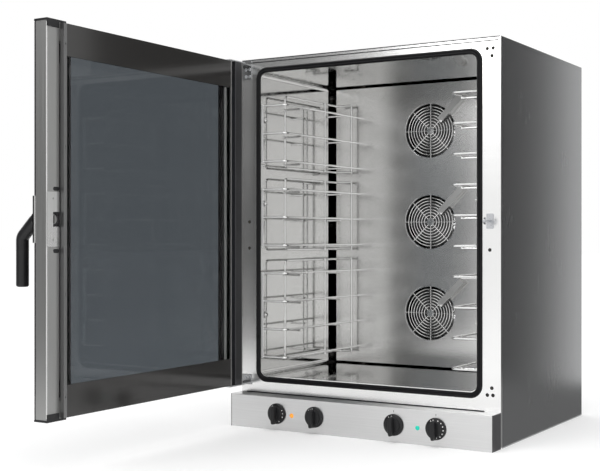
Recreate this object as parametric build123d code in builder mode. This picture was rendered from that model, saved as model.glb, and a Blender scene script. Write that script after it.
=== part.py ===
from build123d import *
from math import cos, radians, sin
import os

os.makedirs("parts", exist_ok=True)

# Free-standing convection oven with ten tray levels and three fans.
# X runs to the right, Y to the back, Z up. The origin is at the centre of the underside of the body.
# The door is modelled standing open, as it is shown.

# Body
body_width = 780.0
body_height = 1030.0
body_depth = 640.0
shell = 1.2
top_lip = 9.0
frame_return = 9.5
frame_gap = 1.0
skin_flange = 12.0
tray_sheet = 1.5
tray_flange = 25.0
skin_clear = 5.0

# Screw holes of the front frame: first number from the side of the body, second from the end of the door
hinge_hole_sides = (16.0, 28.0)
hinge_hole_drops = (6.0, 26.0)
hinge_hole_rise = 9.0
spare_upper_holes = ((36.0, 8.0), (20.5, 8.0), (23.5, 27.0))
spare_lower_holes = ((36.0, 10.0), (21.0, 10.0), (24.0, 28.0))

# Holes for a catch: first number from the side of the body, second from the latch
catch_left_holes = ((25.4, 3.0), (25.4, -71.0))
catch_right_hole = (29.3, -72.0)

# Holes for the bolts of a stand
stand_inset = 60.0
stand_bolt = 10.0
stand_nut_across = 17.0
stand_nut_height = 8.0

# Control panel
panel_height = 90.0
panel_reach = 54.0
panel_end = 2.0

# Cooking chamber
wall_space = 54.0
roof_space = 39.0
floor_space = 48.0
motor_space = 120.0
cavity_corner = 12.0
liner = 1.2
mouth_lip = 6.0
mouth_corner = 24.0

# Insulation jacket
jacket_side = 38.0
jacket_top = 30.0
jacket_floor = 34.0
jacket_rear = 24.0
jacket_front_gap = 12.0
jacket_fit = 0.3
jacket_window = 3.0

# Door gasket
gasket_outer = 5.0
gasket_side_overlap = 4.0
gasket_floor_drop = 14.0
gasket_floor_overlap = 2.0
gasket_top_rise = 11.0
gasket_top_overlap = 1.0
gasket_corner = 34.0
gasket_round = 2.2

# Fan baffle
fan_chamber = 100.0
baffle_side_gap = 15.0
baffle_gap = 5.0
baffle_flange = 12.0
standoff_radius = 5.0
standoff_inset = 26.0

# Fans
fan_end_space = 154.5
fan_above_middle = 8.5
guard_wire = 1.5
guard_weld = 0.5
guard_rings = 7
guard_first_ring = 20.0
guard_rim_out = 7.0
guard_rim_in = 3.0
guard_hub = 12.0
guard_spokes = 8
wheel_overlap = 12.0
wheel_width = 54.0
wheel_plate = 2.0
wheel_ring = 11.0
wheel_set_back = 26.0
blade_count = 10
blade_length = 34.0
blade_angle = 35.0
blade_inset = 3.0
wheel_hub = 16.0
wheel_hub_length = 32.4
wheel_nut = 10.2
wheel_nut_height = 6.0
shaft_radius = 6.0
shaft_fit = 0.05
shaft_window = 3.0
ring_spacing = 18.0
ring_clear = 23.0
ring_wire = 4.0
ring_set_back = 10.0
ring_pitch = 20.0
ring_leg_extra = 0.5
ring_leg_angle = 8.0
ring_leg_out = 14.0

# Motors
motor_flange = 60.0
motor_flange_sheet = 3.0
motor_spacer = 20.0
motor_spacer_radius = 5.0
motor_bolt_circle = 48.0
motor_radius = 42.0
motor_length = 60.0
motor_bell = 36.0
motor_bell_length = 8.0
motor_round = 3.0
motor_window = 2.0

# Humidity system
spout_width = 18.0
spout_length = 103.0
spout_depth = 18.0
spout_sheet = 1.2
spout_offset_x = 74.0
spout_offset_z = 64.0
spout_feed = 32.0
spout_feed_depth = 10.8
pipe_radius = 5.0
branch_radius = 4.0
pipe_fit = 0.3
riser_set_back = 35.0
riser_end = 8.0
valve_width = 40.0
valve_height = 50.0
valve_depth = 40.0
valve_base = 60.0
valve_round = 4.0
valve_coil = 16.0
valve_coil_height = 25.0
inlet_neck = 11.0
inlet_radius = 13.2
inlet_bore = 9.0
inlet_bore_depth = 10.0
inlet_reach = 25.0
inlet_nut = 18.0
inlet_nut_height = 5.0

# Steam vent
vent_inset = 136.0
vent_below_roof = 50.0
vent_radius = 15.0
vent_wall = 1.5
vent_reach = 28.0
vent_collar = 24.0
vent_collar_sheet = 2.0

# Tray ladders
first_level_below_roof = 93.0
last_level_above_floor = 52.6
level_groups = (3, 3, 4)
rack_wire = 3.0
rack_head = 34.0
rack_foot = 13.5
upright_gap = 33.0
runner_gap = 86.0
front_upright = 91.0
rear_upright_gap = 111.0
rack_rear_gap = 27.0
rack_wire_end = 3.0
rack_rear_end = 4.0
runner_start = 12.0
runner_inset = 4.0
rack_bend = 12.0
rack_bar_width = 10.0
rack_bar_sheet = 3.0
rack_lug_height = 18.0
rack_lug_sheet = 2.5
rack_lug_reach = 18.0
rack_end_gap = 0.3
stud_radius = 3.0
stud_length = 20.0
stud_collar = 6.0
stud_collar_length = 5.5
stud_fit = 0.3
stud_depth = 18.5
nut_radius = 8.0
nut_length = 9.0
nut_fit = 0.1
nut_flutes = 24

# Knobs and switches
knob_inset = 152.0
knob_z = 45.0
knob_gap = 0.5
knob_radius = 28.0
knob_skirt = 6.0
knob_bevel = 3.0
knob_crown = 20.0
knob_crown_foot = 1.0
knob_crown_height = 5.0
knob_grip_width = 12.0
knob_grip_length = 42.0
knob_grip_height = 14.0
knob_round = 1.5
knob_shaft = 3.0
knob_shaft_length = 34.0
panel_hole = 5.0
switch_size = 42.0
regulator_size = 46.2
switch_depth = 34.0
switch_bushing = 6.0
switch_bushing_length = 8.0
switch_shaft_room = 1.0

# Pilot lamps
lamp_orange_gap = 48.0
lamp_green_gap = 51.0
lamp_z = 43.0
lamp_radius = 6.5
lamp_body = 5.2
lamp_fit = 0.3
lamp_dome = 3.0
lamp_round = 2.1
lamp_length = 24.0

# Electrical parts on the tray
terminal_side = 140.0
terminal_width = 70.0
terminal_depth = 30.0
terminal_height = 38.0
terminal_inset = 50.0
terminal_ways = 5
terminal_screw = 1.5
terminal_well = 4.0
terminal_well_depth = 6.0
terminal_screw_depth = 20.0
contactor_gap = 130.0
contactor_width = 45.0
contactor_depth = 60.0
contactor_step = 46.8
contactor_top_depth = 40.0
contactor_height = 78.0
contactor_screw = 2.0
contactor_screw_inset = 4.5
contactor_screw_depth = 15.0
gland_z = 60.0
gland_bore = 6.5
gland_thread = 10.0
gland_hex = 15.0
gland_hex_height = 6.0
gland_dome = 12.0
gland_dome_height = 14.0
gland_lock = 5.0
gland_tail = 4.0
gland_round = 4.0
gland_fit = 0.3

# Rear louvres
louvre_length = 60.0
louvre_height = 5.0
louvre_pitch = 12.0
louvre_rows = 7
louvre_x = 90.0

# Wiring windows behind the control panel
wire_window_x = 170.0
wire_window_width = 120.0
wire_window_height = 50.0
wire_window_corner = 5.0

# Door hinge
pivot_inset = 8.7
pivot_reach = 56.5
door_open = 90.0
pin_radius = 5.0
pin_fit = 0.05
hinge_play = 0.3
hinge_plate = 3.0
hinge_eye = 9.0
hinge_boss = 14.0
hinge_plate_end = 84.0
bracket_plate = 4.0
bracket_width = 33.0
bracket_inset = 3.0
bracket_flange = 3.0
bracket_upper_drop = 35.0
bracket_upper_rise = 13.0
bracket_lower_drop = 8.0
bracket_lower_rise = 17.0
pin_head = 8.0
pin_head_height = 4.0
pin_short = 2.0
screw_head = 4.5
screw_head_height = 1.6
screw_shank = 2.5
screw_length = 8.0
screw_fit = 0.2

# Door leaf
leaf_start = 9.3
leaf_face = 0.5
door_overhang = 1.0
door_floor_gap = 32.5
door_top_gap = 21.5
outer_glass = 4.0
outer_glass_corner = 2.0
door_frame_depth = 33.0
door_wall = 1.8
free_stile = 39.0
hinge_stile = 51.0
rail_height = 40.0
seal_band = 31.0
seal_round = 1.5
pane_depth = 12.0
body_gap = 0.3
cap_overhang = 1.0
cap_length = 60.0
cap_height = 5.0
cap_lip = 13.0
cap_lip_sheet = 2.0

# Hinged inner pane
pane_edge_gap = 1.5
pane_side_gap = 2.7
pane_glass_sheet = 5.0
pane_pivot_u = 77.3
pane_pivot_v = 43.5
pane_rod = 4.5
pane_pin = 2.5
pane_web = 20.0
pane_web_sheet = 3.0
strip_width = 10.0
strip_shelf = 11.0
strip_screw = 2.0
strip_screw_depth = 1.5
strip_screw_end = 46.0
strip_screw_inner = 276.0

# Latch and handle
latch_above_middle = 2.5
latch_inset = 28.5
window_width = 23.0
window_height = 33.0
window_offset = -1.0
latch_plate_sheet = 1.2
latch_plate_height = 122.0
latch_plate_screw = 2.5
latch_plate_screw_pitch = 92.0
striker_reach = 42.0
striker_neck = 5.0
striker_head = 17.0
striker_head_length = 9.0
striker_base_width = 19.0
striker_base_height = 38.0
striker_base_sheet = 2.0
striker_base_corner = 3.0
striker_chamfer = 2.0
cup_radius = 11.0
cup_wall = 1.5
cup_front = 27.0
cup_floor = 2.0
cup_clear = 4.0
cup_lip = 3.0
cup_slot_width = 8.0
cup_slot_clear = 2.0
escutcheon_width = 38.0
escutcheon_height = 105.0
escutcheon_sheet = 4.0
escutcheon_round = 1.2
handle_spindle = 6.0
spindle_clear = 2.0
handle_neck = 17.0
handle_neck_length = 20.0
handle_grip = 14.5
handle_standoff = 66.0
handle_drop = 40.0
handle_length = 153.0
handle_bend = 18.0
handle_end_round = 5.0

# Places that follow from the sizes
front_y = -body_depth / 2
rear_y = body_depth / 2
rear_in = rear_y - shell
side_x = body_width / 2
side_in = side_x - shell
skin_front = front_y + frame_return + frame_gap
lip_z = body_height - top_lip
roof_in = body_height - shell
panel_y = front_y - panel_reach
panel_in = panel_y + shell

cavity_x = side_x - wall_space
cavity_top = body_height - roof_space
cavity_floor = panel_height + floor_space
cavity_height = cavity_top - cavity_floor
cavity_mid = (cavity_top + cavity_floor) / 2
cavity_back = rear_y - motor_space
cavity_depth = cavity_back - front_y
back_outer = cavity_back + liner
jacket_back = back_outer + jacket_rear
mouth_x = cavity_x - mouth_lip

baffle_y = cavity_back - fan_chamber
baffle_back = baffle_y + shell
fan_pitch = cavity_height / 2 - fan_end_space
ring_radius = fan_pitch / 2 - ring_spacing
wheel_radius = ring_radius - ring_clear
fan_hole = wheel_radius - wheel_overlap
fan_mid = cavity_mid + fan_above_middle
fan_heights = (fan_mid + fan_pitch, fan_mid, fan_mid - fan_pitch)
fan_names = ("top", "middle", "bottom")
wheel_front = baffle_back + wheel_set_back
wheel_back = wheel_front + wheel_width
motor_front = back_outer + motor_spacer
motor_body_y = motor_front + motor_flange_sheet
motor_end = motor_body_y + motor_length

riser_x = spout_offset_x + spout_feed
riser_rise = spout_offset_z + spout_feed
riser_y = jacket_back + riser_set_back
inlet_z = valve_base + valve_height / 2
vent_x = vent_inset - cavity_x
vent_z = cavity_top - vent_below_roof
terminal_x = terminal_side - side_x
terminal_y = rear_y - terminal_inset
contactor_x = terminal_x + contactor_gap

level_count = sum(level_groups)
level_pitch = (cavity_height - first_level_below_roof - last_level_above_floor) / (level_count - 1)

knob_outer_x = side_x - knob_inset
knob_inner_x = knob_outer_x / 2
knob_places = {
    "timer": -knob_outer_x,
    "mode": -knob_inner_x,
    "humidity": knob_inner_x,
    "temperature": knob_outer_x,
}
lamp_places = {"orange": lamp_orange_gap - knob_outer_x, "green": knob_outer_x - lamp_green_gap}

pivot_x = -side_x + pivot_inset
pivot_y = front_y - pivot_reach
leaf_end = side_x + door_overhang - pivot_x
door_z0 = panel_height + door_floor_gap
door_z1 = body_height - door_top_gap
frame_v0 = leaf_face + outer_glass
frame_v1 = frame_v0 + door_frame_depth
pane_v0 = frame_v1 + body_gap
pane_v1 = frame_v1 + pane_depth
glass_v0 = pane_v1 - pane_glass_sheet
pane_z0 = door_z0 + pane_edge_gap
pane_z1 = door_z1 - pane_edge_gap
pane_end = leaf_end - free_stile - pane_side_gap
gasket_height = pivot_reach - pane_v1 - body_gap
latch_z = (door_z0 + door_z1) / 2 + latch_above_middle
latch_u = leaf_end - latch_inset - door_overhang
latch_x = pivot_x + latch_u


def slab(x0, x1, y0, y1, z0, z1, mode=Mode.ADD):
    """Block between two corners, in the coordinates of the part being built."""
    with Locations(((x0 + x1) / 2, (y0 + y1) / 2, (z0 + z1) / 2)):
        Box(abs(x1 - x0), abs(y1 - y0), abs(z1 - z0), mode=mode)


def rod_x(x0, x1, y, z, radius, mode=Mode.ADD):
    """Round bar along X."""
    with Locations(Location(((x0 + x1) / 2, y, z), (0, 90, 0))):
        Cylinder(radius, abs(x1 - x0), mode=mode)


def rod_y(x, y0, y1, z, radius, mode=Mode.ADD):
    """Round bar along Y."""
    with Locations(Location((x, (y0 + y1) / 2, z), (90, 0, 0))):
        Cylinder(radius, abs(y1 - y0), mode=mode)


def rod_z(x, y, z0, z1, radius, mode=Mode.ADD):
    """Round bar along Z."""
    with Locations((x, y, (z0 + z1) / 2)):
        Cylinder(radius, abs(z1 - z0), mode=mode)


def facing_front(y):
    """Upright plane at depth y, facing the front, with X to the right and Z up."""
    return Plane.XZ.offset(-y)


def bent_wire(points, bend, radius):
    """Round wire along straight runs with rounded corners."""
    with BuildPart() as wire:
        with BuildLine() as route:
            FilletPolyline(*points, radius=bend)
        with BuildSketch(Plane(origin=route.line @ 0, z_dir=route.line % 0)):
            Circle(radius)
        sweep()
    return wire.part


def loose(shape, *sizes):
    """Solid of its own, made by one of the shapes above."""
    with BuildPart() as single:
        shape(*sizes)
    return single.part


def welded(parts):
    """Sheets or wires welded where they touch, each still a solid of its own."""
    return Compound([solid for part in parts for solid in part.solids()])


def finish(shape, name):
    """Label a finished piece and write it."""
    shape.label = name
    export_step(shape, f"parts/{name}.step")


# Base tray with a rim and four weld nuts for a stand
stand_x = side_x - stand_inset
stand_points = [
    (x, y)
    for x in (-stand_x, stand_x)
    for y in (front_y + stand_inset, rear_y - stand_inset)
]
with BuildPart() as base_tray:
    slab(-side_in, side_in, front_y + shell, rear_in, 0, tray_sheet)
    slab(-side_in, tray_sheet - side_in, skin_front, rear_in, 0, tray_flange)
    slab(side_in - tray_sheet, side_in, skin_front, rear_in, 0, tray_flange)
    slab(-side_in, side_in, rear_in - tray_sheet, rear_in, 0, tray_flange)
    with BuildSketch(Plane.XY.offset(tray_sheet)):
        with Locations(*stand_points):
            RegularPolygon(stand_nut_across / 2, 6, major_radius=False)
    extrude(amount=stand_nut_height)
    with Locations(*[(x, y, tray_sheet + stand_nut_height) for x, y in stand_points]):
        Hole(stand_bolt / 2)
finish(base_tray.part, "base_tray")


# Side panels, folded inwards along the front and the top
for side, side_name in ((-1, "side_panel_left"), (1, "side_panel_right")):
    with BuildPart() as side_panel:
        slab(side * side_in, side * side_x, skin_front, rear_y, 0, lip_z)
        slab(side * (side_in - skin_flange), side * side_in, skin_front, rear_in, lip_z - shell, lip_z)
        slab(
            side * (side_in - skin_flange),
            side * side_in,
            skin_front,
            skin_front + shell,
            tray_flange + skin_clear,
            lip_z,
        )
    finish(side_panel.part, side_name)


# Top panel with its turned-down lip
with BuildPart() as top_panel:
    slab(-side_x, side_x, skin_front, rear_y, lip_z, body_height)
    slab(-side_in, side_in, skin_front, rear_in, lip_z, roof_in, mode=Mode.SUBTRACT)
finish(top_panel.part, "top_panel")


# Rear panel with louvres behind the motors and holes for the services
with BuildPart() as rear_panel:
    slab(-side_in, side_in, rear_in, rear_y, 0, lip_z)
    with BuildSketch(facing_front(rear_in)):
        with Locations(*[(x, z) for x in (-louvre_x, louvre_x) for z in fan_heights]):
            with GridLocations(0, louvre_pitch, 1, louvre_rows):
                SlotOverall(louvre_length, louvre_height)
        with Locations((terminal_x, gland_z)):
            Circle(gland_thread + gland_fit)
        with Locations((riser_x, inlet_z)):
            Circle(inlet_radius + pipe_fit)
        with Locations((vent_x, vent_z)):
            Circle(vent_radius + pipe_fit)
    extrude(amount=-shell, mode=Mode.SUBTRACT)
finish(rear_panel.part, "rear_panel")


# Front frame around the mouth of the chamber, with returns on three sides.
# It is drilled alike for a door hung on either side.
hinge_holes = [(side - side_x, door_z1 - drop) for side in hinge_hole_sides for drop in hinge_hole_drops]
hinge_holes += [(side - side_x, door_z0 + hinge_hole_rise) for side in hinge_hole_sides]
spare_holes = [(side_x - side, door_z1 - drop) for side, drop in spare_upper_holes]
spare_holes += [(side_x - side, door_z0 + rise) for side, rise in spare_lower_holes]
catch_holes = [(side - side_x, latch_z + rise) for side, rise in catch_left_holes]
catch_holes += [(side_x - catch_right_hole[0], latch_z + catch_right_hole[1])]
with BuildPart() as front_frame:
    with BuildSketch(facing_front(front_y)):
        with Locations((0, body_height / 2)):
            Rectangle(body_width, body_height)
        with Locations((0, cavity_mid)):
            RectangleRounded(2 * mouth_x, cavity_height, mouth_corner, mode=Mode.SUBTRACT)
        with Locations(*hinge_holes, *spare_holes, *catch_holes):
            Circle(screw_shank + screw_fit, mode=Mode.SUBTRACT)
        with Locations((-wire_window_x, panel_height / 2), (wire_window_x, panel_height / 2)):
            RectangleRounded(
                wire_window_width,
                wire_window_height,
                wire_window_corner,
                mode=Mode.SUBTRACT,
            )
    extrude(amount=-shell)
    slab(-side_x, -side_in, front_y, front_y + frame_return, 0, body_height)
    slab(side_in, side_x, front_y, front_y + frame_return, 0, body_height)
    slab(-side_x, side_x, front_y, front_y + frame_return, roof_in, body_height)
finish(front_frame.part, "front_frame")


# Chamber liner: two sides bent at the corners, a roof and a floor between them, and six studs
# for the ladders, all welded together
levels = []
next_level = cavity_top - first_level_below_roof
for count in level_groups:
    levels.append([next_level - level_pitch * step for step in range(count)])
    next_level -= level_pitch * count
nut_heights = [(group[len(group) // 2 - 1] + group[len(group) // 2]) / 2 for group in levels]
stud_y = front_y + stud_depth
lug_x = cavity_x - stud_collar_length
ring_leg_x = ring_radius * sin(radians(ring_leg_angle))
ring_leg_z = ring_radius * cos(radians(ring_leg_angle))
liner_front = front_y + shell
seam_x = cavity_x - cavity_corner
liner_sheets = []
for seam_left, seam_right in (
    (-cavity_x - liner, -seam_x),
    (-seam_x, seam_x),
    (seam_x, cavity_x + liner),
):
    with BuildPart() as liner_sheet:
        with BuildSketch(facing_front(liner_front)):
            with Locations((0, cavity_mid)):
                RectangleRounded(2 * (cavity_x + liner), cavity_height + 2 * liner, cavity_corner + liner)
                RectangleRounded(2 * cavity_x, cavity_height, cavity_corner, mode=Mode.SUBTRACT)
            with Locations(((seam_left + seam_right) / 2, cavity_mid)):
                Rectangle(seam_right - seam_left, cavity_height + 4 * liner, mode=Mode.INTERSECT)
        extrude(amount=liner_front - cavity_back)
    liner_sheets.append(liner_sheet.part)
for side in (-1, 1):
    for nut_z in nut_heights:
        with BuildPart() as liner_stud:
            rod_x(side * lug_x, side * cavity_x, stud_y, nut_z, stud_collar)
            rod_x(side * (cavity_x - stud_length), side * cavity_x, stud_y, nut_z, stud_radius)
        liner_sheets.append(liner_stud.part)
finish(welded(liner_sheets), "cavity_liner")


# Chamber back, welded to the liner all round, with holes for the fan shafts, the rings, the
# water pipe and the vent
with BuildPart() as liner_back:
    with BuildSketch(facing_front(cavity_back)):
        with Locations((0, cavity_mid)):
            RectangleRounded(2 * (cavity_x + liner), cavity_height + 2 * liner, cavity_corner + liner)
        for fan_z in fan_heights:
            with Locations((0, fan_z)):
                Circle(shaft_radius + shaft_window, mode=Mode.SUBTRACT)
            with Locations((ring_leg_x, fan_z - ring_leg_z), (-ring_leg_x, fan_z - ring_leg_z)):
                Circle(ring_wire + ring_leg_extra + pipe_fit, mode=Mode.SUBTRACT)
            with Locations((riser_x, fan_z + riser_rise)):
                Circle(branch_radius + pipe_fit, mode=Mode.SUBTRACT)
        with Locations((vent_x, vent_z)):
            Circle(vent_radius - vent_wall, mode=Mode.SUBTRACT)
    extrude(amount=-liner)
finish(liner_back.part, "cavity_back")


# Insulation jacket round the liner
with BuildPart() as insulation_jacket:
    slab(
        -(cavity_x + liner + jacket_side),
        cavity_x + liner + jacket_side,
        front_y + jacket_front_gap,
        jacket_back,
        cavity_floor - liner - jacket_floor,
        cavity_top + liner + jacket_top,
    )
    with BuildSketch(facing_front(front_y + jacket_front_gap)):
        with Locations((0, cavity_mid)):
            RectangleRounded(
                2 * (cavity_x + liner + jacket_fit),
                cavity_height + 2 * (liner + jacket_fit),
                cavity_corner + liner + jacket_fit,
            )
    extrude(amount=-(cavity_depth + liner - jacket_front_gap), mode=Mode.SUBTRACT)
    with BuildSketch(facing_front(back_outer)):
        for fan_z in fan_heights:
            with Locations((0, fan_z)):
                Circle(motor_flange + motor_window)
            with Locations((0, fan_z - ring_leg_z)):
                Rectangle(
                    2 * ring_leg_x + 4 * jacket_window + 2 * ring_wire,
                    2 * (ring_wire + jacket_window),
                )
            with Locations((riser_x, fan_z + riser_rise)):
                Circle(branch_radius + jacket_window)
        with Locations((vent_x, vent_z)):
            Circle(vent_collar + pipe_fit)
    extrude(amount=-jacket_rear, mode=Mode.SUBTRACT)
finish(insulation_jacket.part, "insulation_jacket")


# Door gasket, seated on the front frame round the mouth
gasket_z0 = cavity_floor - gasket_floor_drop
gasket_z1 = cavity_top + gasket_top_rise
gasket_in_z0 = cavity_floor - gasket_floor_overlap
gasket_in_z1 = cavity_top - gasket_top_overlap
gasket_out_x = cavity_x + gasket_outer
gasket_in_x = mouth_x - gasket_side_overlap
gasket_band = gasket_out_x - gasket_in_x
with BuildPart() as cavity_gasket:
    with BuildSketch(facing_front(front_y)):
        with Locations((0, (gasket_z0 + gasket_z1) / 2)):
            RectangleRounded(2 * gasket_out_x, gasket_z1 - gasket_z0, gasket_corner)
        with Locations((0, (gasket_in_z0 + gasket_in_z1) / 2)):
            RectangleRounded(
                2 * gasket_in_x,
                gasket_in_z1 - gasket_in_z0,
                gasket_corner - gasket_band,
                mode=Mode.SUBTRACT,
            )
    extrude(amount=gasket_height)
    fillet(cavity_gasket.faces().sort_by(Axis.Y)[0].edges(), gasket_round)
finish(cavity_gasket.part, "cavity_gasket")


# Fan baffle, with return flanges on both sides
baffle_x = cavity_x - baffle_side_gap
baffle_z0 = cavity_floor + baffle_gap
baffle_z1 = cavity_top - baffle_gap
with BuildPart() as fan_baffle:
    with BuildSketch(facing_front(baffle_y)):
        with Locations((0, (baffle_z0 + baffle_z1) / 2)):
            Rectangle(2 * baffle_x, baffle_z1 - baffle_z0)
        for fan_z in fan_heights:
            with Locations((0, fan_z)):
                Circle(fan_hole, mode=Mode.SUBTRACT)
            with Locations((riser_x, fan_z + riser_rise)):
                Circle(branch_radius + pipe_fit, mode=Mode.SUBTRACT)
    extrude(amount=-shell)
    slab(-baffle_x, shell - baffle_x, baffle_y, baffle_y + baffle_flange, baffle_z0, baffle_z1)
    slab(baffle_x - shell, baffle_x, baffle_y, baffle_y + baffle_flange, baffle_z0, baffle_z1)
finish(fan_baffle.part, "fan_baffle")


# Six pillars that hold the baffle off the back wall
pillar_x = baffle_x - standoff_inset
pillar_heights = (baffle_z0 + standoff_inset, cavity_mid, baffle_z1 - standoff_inset)
with BuildPart() as baffle_standoffs:
    with BuildSketch(facing_front(baffle_back)):
        with Locations(*[(x, z) for x in (-pillar_x, pillar_x) for z in pillar_heights]):
            Circle(standoff_radius)
    extrude(amount=-(cavity_back - baffle_back))
finish(baffle_standoffs.part, "baffle_standoffs")


# Fan guards: concentric rings welded to eight spokes, on a flat rim behind the baffle
ring_step = (fan_hole - guard_rim_in - guard_first_ring) / guard_rings
with BuildPart() as guard:
    with BuildSketch(facing_front(baffle_back)):
        with Locations((0, fan_mid)):
            Circle(fan_hole + guard_rim_out)
            Circle(fan_hole - guard_rim_in, mode=Mode.SUBTRACT)
            for ring in reversed(range(guard_rings)):
                Circle(guard_first_ring + ring * ring_step + guard_wire)
                Circle(guard_first_ring + ring * ring_step - guard_wire, mode=Mode.SUBTRACT)
            Circle(guard_hub)
    extrude(amount=-2 * guard_wire)
    with BuildSketch(facing_front(baffle_back + 2 * guard_wire - guard_weld)):
        with Locations((0, fan_mid)):
            with PolarLocations((guard_hub + fan_hole) / 2, guard_spokes):
                Rectangle(fan_hole - guard_hub + guard_rim_in + guard_weld, 2 * guard_wire)
            Circle(guard_hub)
    extrude(amount=-2 * guard_wire)
with BuildPart() as fan_guards:
    for fan_z in fan_heights:
        with Locations((0, 0, fan_z - fan_mid)):
            add(guard.part)
finish(fan_guards.part, "fan_guards")


# Fan wheels with their shafts, each turning on its own
with BuildPart() as wheel:
    rod_y(0, wheel_back - wheel_plate, wheel_back, fan_mid, wheel_radius)
    with BuildSketch(facing_front(wheel_front)):
        with Locations((0, fan_mid)):
            Circle(wheel_radius)
            Circle(wheel_radius - wheel_ring, mode=Mode.SUBTRACT)
    extrude(amount=-wheel_plate)
    with BuildSketch(facing_front(wheel_front + wheel_plate / 2)):
        with Locations((0, fan_mid)):
            with PolarLocations(wheel_radius - blade_length / 2 - blade_inset, blade_count):
                Rectangle(blade_length, wheel_plate, rotation=blade_angle)
    extrude(amount=-(wheel_width - wheel_plate))
    rod_y(0, wheel_back - wheel_hub_length, wheel_back, fan_mid, wheel_hub)
    rod_y(0, wheel_front + wheel_plate, motor_end - motor_bell_length, fan_mid, shaft_radius)
    with BuildSketch(facing_front(wheel_back - wheel_hub_length)):
        with Locations((0, fan_mid)):
            RegularPolygon(wheel_nut, 6)
    extrude(amount=wheel_nut_height)
for fan_name, fan_z in zip(fan_names, fan_heights):
    with BuildPart() as fan_wheel:
        with Locations((0, 0, fan_z - fan_mid)):
            add(wheel.part)
    finish(fan_wheel.part, f"fan_wheel_{fan_name}")


# Fan motors on spacers behind the chamber
with BuildPart() as motor:
    with BuildSketch(facing_front(back_outer)):
        with Locations((0, fan_mid)):
            with PolarLocations(motor_bolt_circle, 4, start_angle=45):
                Circle(motor_spacer_radius)
    extrude(amount=-motor_spacer)
    rod_y(0, motor_front, motor_body_y, fan_mid, motor_flange)
    rod_y(0, motor_body_y, motor_end, fan_mid, motor_radius)
    rod_y(0, motor_end, motor_end + motor_bell_length, fan_mid, motor_bell)
    fillet(motor.faces().sort_by(Axis.Y)[-1].edges(), motor_round)
    rod_y(0, motor_front, motor_end, fan_mid, shaft_radius + shaft_fit, mode=Mode.SUBTRACT)
with BuildPart() as fan_motors:
    for fan_z in fan_heights:
        with Locations((0, 0, fan_z - fan_mid)):
            add(motor.part)
finish(fan_motors.part, "fan_motors")


# Heating elements: two rings round each wheel, with legs through the back wall
ring_front = wheel_front + ring_set_back
with BuildPart() as element:
    for turn in range(2):
        with Locations(Location((0, ring_front + turn * ring_pitch, fan_mid), (90, 0, 0))):
            Torus(ring_radius, ring_wire)
    for side in (-1, 1):
        rod_y(
            side * ring_leg_x,
            ring_front,
            back_outer + ring_leg_out,
            fan_mid - ring_leg_z,
            ring_wire + ring_leg_extra,
        )
with BuildPart() as heating_elements:
    for fan_z in fan_heights:
        with Locations((0, 0, fan_z - fan_mid)):
            add(element.part)
finish(heating_elements.part, "heating_elements")


# Humidity spouts: folded channels that lead water down to the fan inlets
with BuildPart() as humidity_spouts:
    spout_places = [(spout_offset_x, fan_z + spout_offset_z) for fan_z in fan_heights]
    with BuildSketch(facing_front(baffle_y - spout_depth)):
        with Locations(*spout_places):
            Rectangle(spout_length, spout_width, rotation=45)
    extrude(amount=-spout_depth)
    inner_shift = spout_sheet * cos(radians(45))
    with BuildSketch(facing_front(baffle_y - spout_depth + spout_sheet)):
        with Locations(*[(x - inner_shift, z - inner_shift) for x, z in spout_places]):
            Rectangle(spout_length, spout_width - 2 * spout_sheet, rotation=45)
    extrude(amount=-spout_depth, mode=Mode.SUBTRACT)
finish(humidity_spouts.part, "humidity_spouts")


# Water valve with its threaded inlet through the rear panel and the nut that locks it there
with BuildPart() as water_valve:
    slab(
        riser_x - valve_width / 2,
        riser_x + valve_width / 2,
        riser_y - valve_depth / 2,
        riser_y + valve_depth / 2,
        valve_base,
        valve_base + valve_height,
    )
    fillet(water_valve.edges().filter_by(Axis.Z), valve_round)
    rod_z(riser_x, riser_y, valve_base - valve_coil_height, valve_base, valve_coil)
    rod_y(riser_x, riser_y, rear_in, inlet_z, inlet_neck)
    rod_y(riser_x, rear_in - inlet_nut_height, rear_in, inlet_z, inlet_nut)
    rod_y(riser_x, rear_in, rear_y + inlet_reach, inlet_z, inlet_radius)
    with BuildSketch(facing_front(rear_y)):
        with Locations((riser_x, inlet_z)):
            RegularPolygon(inlet_nut, 6)
    extrude(amount=-inlet_nut_height)
    rod_y(riser_x, rear_y - inlet_bore_depth, rear_y + inlet_reach, inlet_z, inlet_bore, mode=Mode.SUBTRACT)
finish(water_valve.part, "water_valve")


# Water pipe: a riser behind the jacket with a branch to each spout
with BuildPart() as water_pipe:
    rod_z(riser_x, riser_y, valve_base + valve_height, fan_heights[0] + riser_rise + riser_end, pipe_radius)
    for fan_z in fan_heights:
        rod_y(riser_x, baffle_y - spout_feed_depth, riser_y, fan_z + riser_rise, branch_radius)
finish(water_pipe.part, "water_pipe")


# Steam vent from the plenum to the rear, with a collar on the chamber and one outside
with BuildPart() as vent_pipe:
    rod_y(vent_x, back_outer, rear_y + vent_reach, vent_z, vent_radius)
    rod_y(vent_x, back_outer, back_outer + vent_collar_sheet, vent_z, vent_collar)
    rod_y(vent_x, rear_y, rear_y + vent_collar_sheet, vent_z, vent_collar)
    rod_y(
        vent_x,
        back_outer,
        rear_y + vent_reach,
        vent_z,
        vent_radius - vent_wall,
        mode=Mode.SUBTRACT,
    )
finish(vent_pipe.part, "vent_pipe")


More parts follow.
